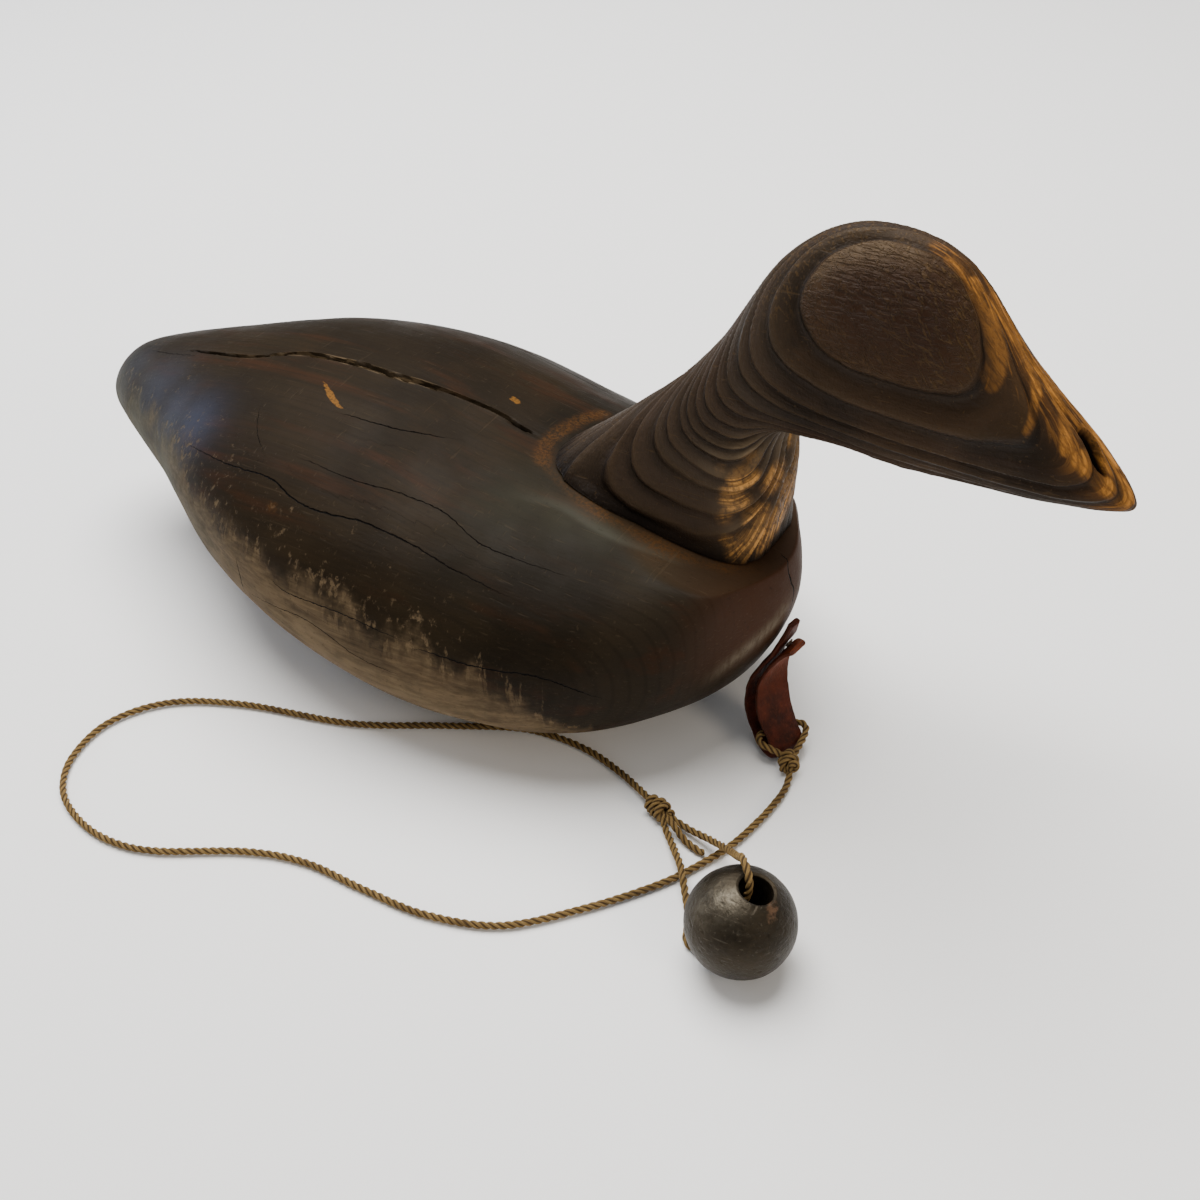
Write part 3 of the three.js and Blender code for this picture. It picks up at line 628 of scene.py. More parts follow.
# x and height of the back and the front outline, from the neck's foot to the bill's tip
backLine = [
    (11, 92.6), (24, 103.5), (43, 120), (61, 137), (79, 159.5), (100.5, 194), (125.5, 209), (156, 204.5), (182.5, 176.5),
    (210.3, 153), (221.5, 137),
]
frontLine = [
    (102.5, 79.35), (103, 86), (105, 112), (104, 126.5), (107, 133), (117.5, 133), (131, 133), (149, 131), (171.5, 132),
    (197.3, 132.5), (221.5, 137),
]
head = {
    "halfWidths": (25, 24, 22, 21.2, 21.4, 23.8, 24.5, 21.8, 17.1, 10.5, 0),
    "backPowers": (2.6, 2.5, 2.3, 2.2, 2.1, 2.1, 2.1, 2.1, 2.1, 2, 2),
    "frontPowers": (4.2, 3.8, 3.2, 2.8, 2.4, 2.3, 2.3, 2.3, 2.2, 2, 2),
    "rows": 326,
    "sides": 290,
    "offset": 8,
    "turn": -1.8,
    "turnAbout": 58,
    "seatGap": 0.4,
    "layerNormal": (0.1505, -0.8806, 0.4493),
    "layerWaves": [(0.5, 30, 41), (0.3, 9, 42), (0.12, 3.5, 43)],
    "rough": [(0.22, 22, 45), (0.07, 5, 46)],
    "slitLine": [(201.2, 2.4, 160.8), (203.1, 1.4, 159), (207.3, -0.3, 154.8), (212.6, -1.6, 148.4)],
    "slitHalf": 2.3,
    "slitDepth": 4.2,
    "amberLine": [
        (150, 6, 205.5), (160, 4.5, 200), (170, 5, 190), (180, 4, 178), (190, 3, 168), (200, 2, 159), (210, 1, 150),
        (221, 0, 139),
    ],
    "amberReach": [(150, 4), (165, 7), (185, 9), (200, 8.5), (222, 8)],  # at x
    "goldStrokes": [
        # half width in mm, points of the stroke
        (2.6, [
            (153.5, 3.1, 203.9), (160.6, 2, 199), (165.4, 0.8, 193.7), (169.8, -1.2, 188), (172.7, -4.9, 181.5),
            (172.7, -8.3, 176.6),
        ]),
        (2.6, [(168.5, 1.8, 191), (173.4, -1.8, 183.6), (175.6, -5.2, 177.4), (175.2, -8, 173.5)]),
        (2.0, [(161.9, 4.8, 200), (173.2, 6.3, 185.2), (183.4, 2.3, 173.9), (188.1, -5.3, 167.2), (187.6, -8.7, 162.1)]),
        (2.6, [(165.9, 9.9, 193.3), (176.6, 8.2, 182.4), (188.8, 5.9, 170.8), (196.9, -0.3, 162.9), (199.3, -4.5, 156.2)]),
        (3.0, [(184, 10.5, 176), (199.4, 9.1, 159.6), (207, 4, 153), (211.4, 3, 149.9)]),
        (3.4, [(203, -3.5, 153.5), (212, -3, 146.5), (219, 0, 141.5)]),
        (2.2, [(201.7, 4.5, 160.5), (208, 2.5, 154), (213.5, 1, 148.8), (220, 2, 141)]),
    ],
    "spots": {
        "shade": [(194, -8.5, 150.5, 8, 1), (202, -7.5, 145.5, 5, 0.7), (182, -9.5, 156, 8, 0.5)],
        # bare wood on the front of the neck, painted brighter for the light that falls there
        "litBareFacet": [
            (95.7, -11.5, 84.7, 7, 0.9), (99.5, -8.5, 88, 9, 1), (101.5, -3, 88, 9, 1), (103, 5, 92.6, 11, 1),
            (103.5, 12, 100, 12, 1), (103.4, 18, 112, 11, 0.9), (100, -7, 99, 8, 0.9), (103.5, 0, 112, 10, 0.8),
            (92, -13.5, 90, 5, 0.7), (104, 14, 122, 9, 0.7), (89, -13.8, 119, 6, 0.5), (94, -13.3, 108, 8, 0.85),
            (97, -12, 116, 8, 0.9), (91, -14, 99, 7, 0.55), (98, -9, 124, 6, 0.7),
        ],
        # painted highlights on the plateau's top rim, and worn rims with painted highlights down the front of the neck
        "pale": [
            (120.9, -5.3, 203.4, 6, 0.4), (127, -3, 206.4, 7, 0.45), (134, -2, 207.8, 7, 0.45),
            (142.5, -1.2, 207.7, 6, 0.35), (117, -8.3, 199.4, 5, 0.35), (88, -13.8, 121, 7, 0.5), (97, -10, 127, 7, 0.8),
            (103, 3, 124, 8, 0.6), (104, 13, 122, 8, 0.5), (93, -13.5, 107, 7, 0.4), (97, -11.5, 94, 8, 0.4),
        ],
        "crown": [
            (109, -2, 198, 12, 0.9), (117, 6, 204, 14, 1), (128, 10, 208, 14, 1), (140, 10, 208, 14, 1),
            (153, 6, 206, 11, 0.8), (105, -8, 188, 9, 0.8), (98, 0, 186, 9, 0.5),
        ],
    },
}
# Growth layers: distance of each hard rim from the origin along the layers' normal, and how deep the soft wood
# just outside it has worn, in mm.
growthRims = [
    (-4, 0.7), (4, 0.9), (11, 0.9), (18, 1.1), (24.5, 1.0), (30.5, 1.2), (36.5, 1.3), (42, 1.2), (47.5, 1.0),
    (51.2, 0.8), (57.2, 1.7), (65.2, 2.3), (69.2, 1.7), (74.8, 1.4), (77.8, 0.5), (81.2, 1.2), (83.2, 0.5), (85.7, 1.1),
    (88.4, 0.5), (91.8, 1.1), (95.3, 1.0), (99.6, 0.5), (103.2, 1.4), (109, 1.5), (115, 2.2), (133, 1.4),
]


# Sections spanned between the back and the front outline: at the angle a, the point moves from the middle towards
# the back by cos a and across by sin a, squared off by the powers. Between two hard rims the soft wood is
# worn hollow: the depth eases in over seven tenths of the way outwards and back over the rest.
def makeHead(s):
    profile = np.column_stack([backLine, frontLine, s["halfWidths"], s["backPowers"], s["frontPowers"]])
    bx, bz, fx, fz, w, bp, fp = profile[-2]
    even = np.linspace(0, 0.997, s["rows"])
    t = 0.35 * np.sin(np.pi / 2 * even) + 0.65 * even
    columns = through(profile, t, profile[0], (fx, fz, bx, bz, -w, bp, fp)).T
    xb, zb, xf, zf, half, back, front = (column[:, None] for column in columns)
    a = np.linspace(0, fullTurn, s["sides"], endpoint=False)[None]
    power = np.where(np.cos(a) > 0, back, front)
    c = squared(np.cos(a), power)
    x = (xb + xf) / 2 + (xb - xf) / 2 * c
    z = (zb + zf) / 2 + (zb - zf) / 2 * c
    y = -np.maximum(half, 0) * squared(np.sin(a), power) + s["offset"]
    turn = np.radians(s["turn"])
    dx = x - s["turnAbout"]
    points = np.stack([
        dx * np.cos(turn) - y * np.sin(turn) + s["turnAbout"], dx * np.sin(turn) + y * np.cos(turn), z,
    ], -1)
    normals = gridNormals(points, points.mean(1, keepdims=True))
    # growth layers
    level = points @ np.array(s["layerNormal"])
    level = level - 0.1 * (points[..., 0] - 60) * easeIn(120 - points[..., 2], 0, 25)
    level = level + clouds(points, s["layerWaves"])
    rims = np.array(growthRims, float)
    ring = np.interp(level, rims[:, 0], np.arange(len(rims)))
    f = ring - np.floor(ring)
    number = np.clip(np.floor(ring).astype(int), 0, len(rims) - 2)
    sunk = 1.35 * rims[number + 1, 1] * easeIn(f, -0.08, 0.7) * (1 - easeIn(f, 0.74, 1.0))
    sunk = sunk * (0.8 + 0.3 * cloud(points, 14, 44))
    faded = easeIn(points[..., 0], 52, 84) * (1 - easeIn(points[..., 0], 92, 99)) * easeIn(134 - points[..., 2], 0, 20)
    sunk = sunk * (1 - 0.72 * faded) * (0.55 + 0.45 * easeIn(level, 38, 60))
    sunk = sunk * easeIn(np.linalg.norm(points - points[-1].mean(0), axis=-1), 1, 9)
    seat = 0.35 + 0.65 * easeIn(points[..., 2] - shelfAt(points[..., 0]), 0.2, 6)
    points = points + normals * ((clouds(points, s["rough"]) - 0.1 - sunk) * seat)[..., None]
    points[..., 2] = np.maximum(points[..., 2], shelfAt(points[..., 0]) + s["seatGap"])
    points[0, :, 2] = shelfAt(points[0, :, 0]) + s["seatGap"]
    # slit: a lens along its line, sunk like a bowl
    across, share = offLine(points, normals, s["slitLine"])
    lens = s["slitHalf"] * swell(share, 0.8, 0) + 0.25 * cloud(points, 3, 47)
    near = np.linalg.norm(points - np.array(s["slitLine"][2]), axis=-1) < 13
    inside = np.clip(1 - (across / np.maximum(lens, 0.05)) ** 2, 0, 1) * near * (share > 0.01) * (share < 0.99)
    drop = s["slitDepth"] * np.sqrt(inside) * swell(share, 0.5, 0)
    lipped = 0.35 * bell(np.abs(across) - lens, 0.9) * near * (inside == 0) * swell(share, 1, 0)
    points = points - normals * (drop - lipped)[..., None]
    # colour fields
    amber, _ = offLine(points, normals, s["amberLine"], None)
    gold = np.zeros(points.shape[:2])
    for halfWidth, line in s["goldStrokes"]:
        d, _ = offLine(points, normals, line, 4 * len(line))
        gold = np.maximum(gold, bell(d + 0.8 * cloud(points, 5, 48), halfWidth))
    values = {key: spots(points, places) for key, places in s["spots"].items()}
    values |= {
        "ring": ring,
        "level": level,
        "calm": faded,
        "gold": gold,
        "amber": bell(amber, np.interp(points[..., 0], *np.array(s["amberReach"]).T)),
        "plateau": easeIn(level, 114.6, 115.3),
        # painted shade in the bill's slit
        "slit": easeIn(drop, 0.4, 2.4),
        # painted shadow round the neck's foot
        "foot": 1 - easeIn(points[..., 2] - shelfAt(points[..., 0]), 0.5, 9),
    }
    return skinMesh("decoyHead", points, values, sharpAngle=60)


decoyHead = settle(makeHead(head), "head")
report("head carved")

strap = {
    "width": 15,
    "thickness": 2.4,
    "rows": 420,
    "sides": 64,
    "cup": 0.35,  # how far the edges curl
    # centre line from the outer free end, down to the fold and back up, with the heading of the width in degrees
    "line": [
        (118.0, -4.5, 42.0, 80), (114.9, -3.9, 39.8, 84), (111.6, -5.2, 34.6, 80), (110.6, -8.8, 28.8, 67),
        (112, -12, 24, 59), (114, -14.4, 18.6, 57), (117, -15.8, 12.6, 57), (120.2, -16.8, 7.4, 58),
        (122.4, -17.8, 4.3, 60), (121.8, -18.2, 1.8, 62), (118.6, -17.3, 1.7, 62), (115.2, -15.6, 3, 60),
        (111.6, -13.4, 6.2, 58), (108.2, -11.6, 12, 57), (106.4, -10, 19.6, 58), (106.4, -7.6, 27, 64),
        (107.9, -5, 33.2, 78), (110.3, -3.2, 38.6, 86), (112.9, -2.6, 44.4, 80), (114.9, -2.2, 51.4, 78),
    ],
    "nailAlong": 0.93,
    "nailRadius": 2.0,
    "nailHeight": 1.0,
}


# The strap's centre line, the direction of its width and the direction square to its face at the shares t.
def alongStrap(t, s=strap):
    rows = through(s["line"], t)
    ahead = (through(s["line"], t + 0.004) - through(s["line"], t - 0.004))[..., :3]
    heading = np.radians(rows[..., 3])
    across = np.stack([np.cos(heading), np.sin(heading), 0 * heading], -1)
    return rows[..., :3], across, unit(np.cross(ahead, across))


# Flat strip carried along the line. Its section is a box with rounded edges: half the width * cos a across and
# half the thickness * sin a through, squared off by high powers. The edges are a little ragged, the ends torn.
def makeStrap(s):
    t = np.linspace(0, 1, s["rows"])
    centre, across, square = alongStrap(t)
    a = np.linspace(0, fullTurn, s["sides"], endpoint=False) + 0.05
    u = squared(np.cos(a), 9)[None]
    v = squared(np.sin(a), 3.2)[None]
    base = centre[:, None] + 0 * u[..., None]
    ragged = 1 - 0.035 * (1 + cloud(base, 5, 51)) - 0.02 * cloud(base, 1.8, 52)
    torn = 1 - 0.34 * (1 - easeIn(t, 0.0, 0.09)) - 0.6 * (1 - easeIn(1 - t, 0.0, 0.1))
    half = s["width"] / 2 * ragged * torn[:, None]
    cup = s["cup"] * u**2 * np.sin(np.pi * t)[:, None]
    thick = s["thickness"] / 2 * (1 - 0.12 * np.abs(u) ** 4) * (0.94 + 0.05 * cloud(base + 40, 6, 53))
    points = base + (half * u)[..., None] * across[:, None] + (thick * v - cup)[..., None] * square[:, None]
    points = points + 0.12 * cloud(points, 3.2, 54)[..., None] * square[:, None]
    points[..., 2] = np.maximum(points[..., 2], 0.15)
    # painted light on the outer end's flap, in the lighter orange colour
    values = {"edge": easeIn(np.abs(u) + 0 * half, 0.9, 0.99), "litStrapEnd": bell(t, 0.16)[:, None] + 0 * half}
    return skinMesh("leatherStrap", points, values, sharpAngle=70)


# Small flat nail head: a low dome turned about the strap's square direction, its rim a little uneven.
def makeNail(s):
    centre, _, square = alongStrap(np.array([s["nailAlong"]]))
    outward = square[0] * (1 if square[0, 0] > 0 else -1)
    side = unit(np.cross(outward, (0, 1, 0)))
    other = np.cross(outward, side)
    share = np.linspace(0, 1, 18)
    radius = s["nailRadius"] * swell(share, 0.5, 0.01)
    height = s["nailHeight"] * np.where(share < 0.5, 0.5 * share, 0.25 + 0.75 * easeIn(share, 0.5, 1.0))
    turns = np.linspace(0, fullTurn, 40, endpoint=False)
    uneven = 1 + 0.05 * np.sin(3 * turns) + 0.03 * np.sin(7 * turns + 1)
    ring = np.cos(turns)[:, None] * side + np.sin(turns)[:, None] * other
    seat = centre[0] + outward * (s["thickness"] / 2 + 0.3)
    points = seat + (radius[:, None] * uneven)[..., None] * ring[None] + height[:, None, None] * outward
    rimDark = (1 - easeIn(share, 0.55, 0.8))[:, None] + 0 * points[..., 0]
    return skinMesh("loopNail", points, {"rimDark": rimDark}, sharpAngle=60)


leatherStrap = settle(makeStrap(strap), "leather_loop")
loopNail = settle(makeNail(strap), "loop_nail")
report("strap cut")


# One output of a shader node. A sign between outputs and numbers places a Math node and gives its output.
class Wire:
    def __init__(self, tree, socket):
        self.tree, self.socket = tree, socket

    def maths(self, operation, *values):
        return put(self.tree, "Math", dict(enumerate(values)), operation=operation)[0]

    def __add__(self, other):
        return self.maths("ADD", self, other)

    def __radd__(self, other):
        return self.maths("ADD", other, self)

    def __sub__(self, other):
        return self.maths("SUBTRACT", self, other)

    def __rsub__(self, other):
        return self.maths("SUBTRACT", other, self)

    def __mul__(self, other):
        return self.maths("MULTIPLY", self, other)

    def __truediv__(self, other):
        return self.maths("DIVIDE", self, other)

    def __rtruediv__(self, other):
        return self.maths("DIVIDE", other, self)

    def orMore(self, other):
        return self.maths("MAXIMUM", self, other)

    # Eased step between low and high.
    def eased(self, low, high, start=0.0, end=1.0):
        limits = {"From Min": low, "From Max": high, "To Min": start, "To Max": end}
        return put(self.tree, "MapRange", {"Value": self, **limits}, interpolation_type="SMOOTHSTEP")[0]

    def feed(self, socket):
        self.tree.links.new(self.socket, socket)


def fill(tree, made, inputs):
    for key, value in inputs.items():
        if isinstance(value, Wire):
            value.feed(made.inputs[key])
        else:
            made.inputs[key].default_value = value
    return [Wire(tree, socket) for socket in made.outputs]


def put(tree, kind, inputs, **settings):
    made = tree.nodes.new("ShaderNode" + kind)
    for key, value in settings.items():
        setattr(made, key, value)
    return fill(tree, made, inputs)


def mixed(share, first, second):
    return put(share.tree, "Mix", {0: share, 6: first, 7: second}, data_type="RGBA")[2]


# Tints laid over a colour one after the other, each through its mask.
def tinted(s, colour, *rows):
    for mask, tint in rows:
        colour = mixed(mask, colour, s[tint])
    return colour


def field(tree, name):
    return put(tree, "Attribute", {}, attribute_name=name)[2]


# Object coordinates in mm, stretched by three factors and then turned.
def place(tree, stretch=(1, 1, 1), turn=(0, 0, 0)):
    scale = [k / toMetres for k in stretch]
    source = put(tree, "TexCoord", {})[3]
    return put(tree, "Mapping", {"Vector": source, "Scale": scale, "Rotation": turn}, vector_type="POINT")[0]


# Object coordinates in mm turned first and then stretched, so that the grain can run aslant.
def grain(tree, stretch, turn):
    scale = [toMetres / k for k in stretch]
    source = put(tree, "TexCoord", {})[3]
    return put(tree, "Mapping", {"Vector": source, "Scale": scale, "Rotation": turn}, vector_type="TEXTURE")[0]


# Blender's noise with its features about size apart.
def noise(vector, size, detail=4.0, rough=0.5, warp=0.0):
    shape = {"Scale": 1 / size, "Detail": detail, "Roughness": rough, "Distortion": warp}
    return put(vector.tree, "TexNoise", {"Vector": vector, **shape})[0]


# Group of nodes with a vector input, the further number inputs and number outputs that are named.
def newGroup(name, numbers, outputs):
    tree = bpy.data.node_groups.new(name, "ShaderNodeTree")
    tree.interface.new_socket(name="Vector", in_out="INPUT", socket_type="NodeSocketVector")
    for label, value in numbers.items():
        tree.interface.new_socket(name=label, in_out="INPUT", socket_type="NodeSocketFloat").default_value = value
    for label in outputs:
        tree.interface.new_socket(name=label, in_out="OUTPUT", socket_type="NodeSocketFloat")
    given = [Wire(tree, socket) for socket in tree.nodes.new("NodeGroupInput").outputs]
    return tree, given, tree.nodes.new("NodeGroupOutput").inputs


def placeGroup(group, **inputs):
    tree = inputs["Vector"].tree
    made = tree.nodes.new("ShaderNodeGroup")
    made.node_tree = group
    return {wire.socket.name: wire for wire in fill(tree, made, inputs)}


# Long fibres of old wood: thin streaks along the stretched axis, broader bands and a few darker pores.
def woodFibreGroup():
    tree, given, out = newGroup("woodFibres", {"Size": 1.0}, ["Streaks", "Bands", "Pores"])
    vector, size = given[:2]
    noise(vector, size, 5, 0.62).eased(0.3, 0.7).feed(out["Streaks"])
    noise(vector, size / 0.22, 2).eased(0.32, 0.68).feed(out["Bands"])
    noise(vector, size / 1.9, 1).eased(0.66, 0.74).feed(out["Pores"])
    return tree


# Handling wear shared by wood, leather and lead: broad smudges, fine scratches two ways and specks of dirt.
def handlingGroup():
    tree, given, out = newGroup("handlingWear", {}, ["Smudge", "Scratches", "Specks"])
    vector = given[0]
    noise(vector, 26, 4, 0.6).eased(0.32, 0.68).feed(out["Smudge"])
    marks = []
    for turn, stretch in (((0.3, 0.5, 0.6), (0.035, 1, 1)), ((0.9, -0.4, -0.5), (1, 0.035, 1))):
        turned = put(tree, "Mapping", {"Vector": vector, "Rotation": turn, "Scale": stretch})[0]
        marks.append(noise(turned, 1 / 0.85, 1.5, warp=0.2).eased(0.66, 0.75))
    marks[0].orMore(marks[1]).feed(out["Scratches"])
    noise(vector, 1 / 0.6, 3).eased(0.62, 0.72).feed(out["Specks"])
    return tree


woodFibres = woodFibreGroup()
handlingWear = handlingGroup()


def newMaterial(name):
    material = bpy.data.materials.new(name)
    material.use_nodes = True
    tree = material.node_tree
    shader = next(n for n in tree.nodes if n.type == "BSDF_PRINCIPLED")
    return material, tree, shader


def dress(piece, material):
    piece.data.materials.clear()
    piece.data.materials.append(material)


# Links colour and roughness to the shader, and a height in mm to its normal. The gloss is the same all over.
def finishShader(shader, colour, roughness, height, gloss=0.5):
    colour.feed(shader.inputs["Base Color"])
    roughness.feed(shader.inputs["Roughness"])
    bump = put(colour.tree, "Bump", {"Height": height, "Distance": toMetres, "Strength": 1.0})[0]
    bump.feed(shader.inputs["Normal"])
    shader.inputs["Specular IOR Level"].default_value = gloss


bodyFinish = {
    "dark": (0.0080, 0.0056, 0.0030, 1),
    "brown": (0.0170, 0.0112, 0.0053, 1),
    "front": (0.0190, 0.0140, 0.0088, 1),
    "redBrown": (0.029, 0.0108, 0.0040, 1),
    "bare": (0.125, 0.086, 0.047, 1),
    "bareDark": (0.072, 0.049, 0.028, 1),
    "bareLow": (0.155, 0.110, 0.062, 1),
    "fresh": (0.15, 0.066, 0.012, 1),
    "rust": (0.075, 0.031, 0.0075, 1),
    "shelf": (0.036, 0.0205, 0.0105, 1),
    "breast": (0.046, 0.0175, 0.0075, 1),
    # worn: wear with a painted highlight down the breast
    "worn": (0.135, 0.110, 0.078, 1),
    "sheen": (0.033, 0.040, 0.072, 1),
    # painted highlights in green-grey, by the shelf's ridge and along the tail's lower edge
    "greenishHighlight": (0.034, 0.034, 0.021, 1),
    "greenGrey": (0.085, 0.086, 0.066, 1),
    # black: painted shade in the cracks and the check
    "black": (0.0012, 0.0008, 0.0005, 1),
    "gloss": 0.05,
}


def bodyWood(s):
    material, tree, shader = newMaterial("wornBodyPaint")
    straight = place(tree)
    fibres = placeGroup(woodFibres, Vector=place(tree, (0.045, 1, 1), (0, 0.03, 0.05)), Size=1.5)
    wear = placeGroup(handlingWear, Vector=straight)
    forward = put(tree, "SeparateXYZ", {0: straight})[0].eased(50, 92, 0.0, 0.8)
    reddish = noise(place(tree, (0.12, 1, 1), (0, 0.02, 0.1)), 11, 4, 0.6).eased(0.5, 0.75)
    streaky = noise(place(tree, (0.5, 1, 0.3), (0, 0.5, 0)), 1.6, 4, 0.65).eased(0.3, 0.65, 0.3, 0.8)
    # arcs of the year rings round the tail
    waves = {"Vector": place(tree, (0.55, 1, 0.8)), "Scale": 0.085, "Distortion": 5.0, "Detail": 2.0, "Detail Scale": 0.35}
    rings = put(tree, "TexWave", waves, wave_type="BANDS", bands_direction="Y")[1].eased(0.75, 1.0)
    colour = tinted(
        s, mixed(noise(straight, 42, 3).eased(0.35, 0.65), s["dark"], s["brown"]),
        (fibres["Streaks"] * 0.35, "brown"),
        (fibres["Bands"] * 0.45, "dark"),
        (forward, "front"),
        (reddish * 0.75, "redBrown"),
        (rings * 0.28, "dark"),
        (field(tree, "breast") * 0.75, "breast"),
        (field(tree, "shelf") * 0.7, "shelf"),
        (field(tree, "sheen") * 0.6, "sheen"),
        # painted green-grey highlight
        (field(tree, "greenishHighlight") * 0.5, "greenishHighlight"),
        # wear with a painted highlight down the breast
        (field(tree, "breastWearAndHighlight") * streaky, "worn"),
        # painted highlight along the shelf's ridge
        (field(tree, "ridgeHighlight") * 0.24, "greenGrey"),
        (field(tree, "shade") * 0.9, "dark"),
    )
    # bare lower sides: the paint thins out in soft patches and short upright flecks
    fleck = noise(place(tree, (0.75, 0.75, 0.14)), 2.2, 4, 0.65).eased(0.52, 0.68)
    coarse = noise(place(tree, (1, 1, 0.7)), 15, 4, 0.65)
    margin = field(tree, "bare") + (coarse - 0.5) * 44.0
    bare = (margin + fleck * 13.0).eased(-4.0, 13.0)
    smeared = noise(place(tree, (0.3, 1, 1)), 8, 5, 0.7).eased(0.3, 0.6, 0.45, 0.95)
    bareColour = tinted(
        s, mixed(fibres["Streaks"], s["bareDark"], s["bare"]),
        (margin.eased(12.0, 40.0), "bareLow"),
        # painted green-grey highlight on the tail's lower edge
        (field(tree, "greenishHighlight") * 0.8, "greenGrey"),
    )
    colour = mixed(bare * smeared, colour, bareColour)
    # worn spots
    grains = noise(straight, 1.3, 4, 0.8).eased(0.4, 0.62, 0.15, 1.0)
    chips = noise(place(tree, (0.35, 1, 1)), 1.6, 3, 0.6)
    fresh = (field(tree, "fresh") + (chips - 0.5) * 0.9).eased(0.45, 0.7)
    # cracks: painted shade, darkest along the drawn line, which shakes a little, and in the long check
    shake = (noise(straight, 2.6, 3, 0.6) - 0.5) * 1.5
    away = (field(tree, "crack") + shake).maths("ABSOLUTE", field(tree, "crack") + shake)
    inCrack = (1.0 - away / (field(tree, "crackHalf") + 0.02)).orMore(0.0)
    crackShade = inCrack.eased(0.0, 0.45).orMore(field(tree, "check"))
    litSplinters = noise(place(tree, (0.16, 1, 1)), 2.4, 3, 0.6).eased(0.46, 0.57, 0.1, 0.85)
    colour = tinted(
        s, colour,
        (field(tree, "rust").eased(0.15, 0.95) * grains * 0.7, "rust"),
        (fresh * noise(straight, 0.9, 3, 0.7).eased(0.36, 0.56, 0.4, 1.0), "fresh"),
        (wear["Scratches"] * 0.07, "bare"),
        (wear["Specks"] * 0.3, "dark"),
        (crackShade, "black"),
        # bare wood with a painted highlight along the check's lip
        (field(tree, "lip").eased(0.10, 0.24) * litSplinters, "bare"),
    )
    rough = 0.46 + wear["Smudge"] * 0.12 + bare.orMore(crackShade) * 0.22
    height = fibres["Streaks"] * 0.035 + wear["Scratches"] * -0.04 - fibres["Pores"] * 0.03
    height = height - inCrack.eased(0.0, 0.9) * 0.7 - bare * 0.12
    finishShader(shader, colour, rough, height, s["gloss"])
    return material


headFinish = {
    "dark": (0.0100, 0.0062, 0.0034, 1),
    "brown": (0.033, 0.0190, 0.0098, 1),
    "red": (0.027, 0.0122, 0.0060, 1),
    "neck": (0.044, 0.0310, 0.0205, 1),
    "olive": (0.080, 0.046, 0.017, 1),
    "amber": (0.075, 0.033, 0.010, 1),
    "gold": (0.39, 0.165, 0.031, 1),
    # straw: bare wood, painted brighter for the light on the front of the neck
    "straw": (0.54, 0.265, 0.070, 1),
    # pale: painted highlight on the rims, some of them worn
    "pale": (0.19, 0.135, 0.078, 1),
    # black: painted shadow at the steps, round the neck's foot and in the bill's slit
    "black": (0.0028, 0.0016, 0.0010, 1),
    "gloss": 0.09,
}


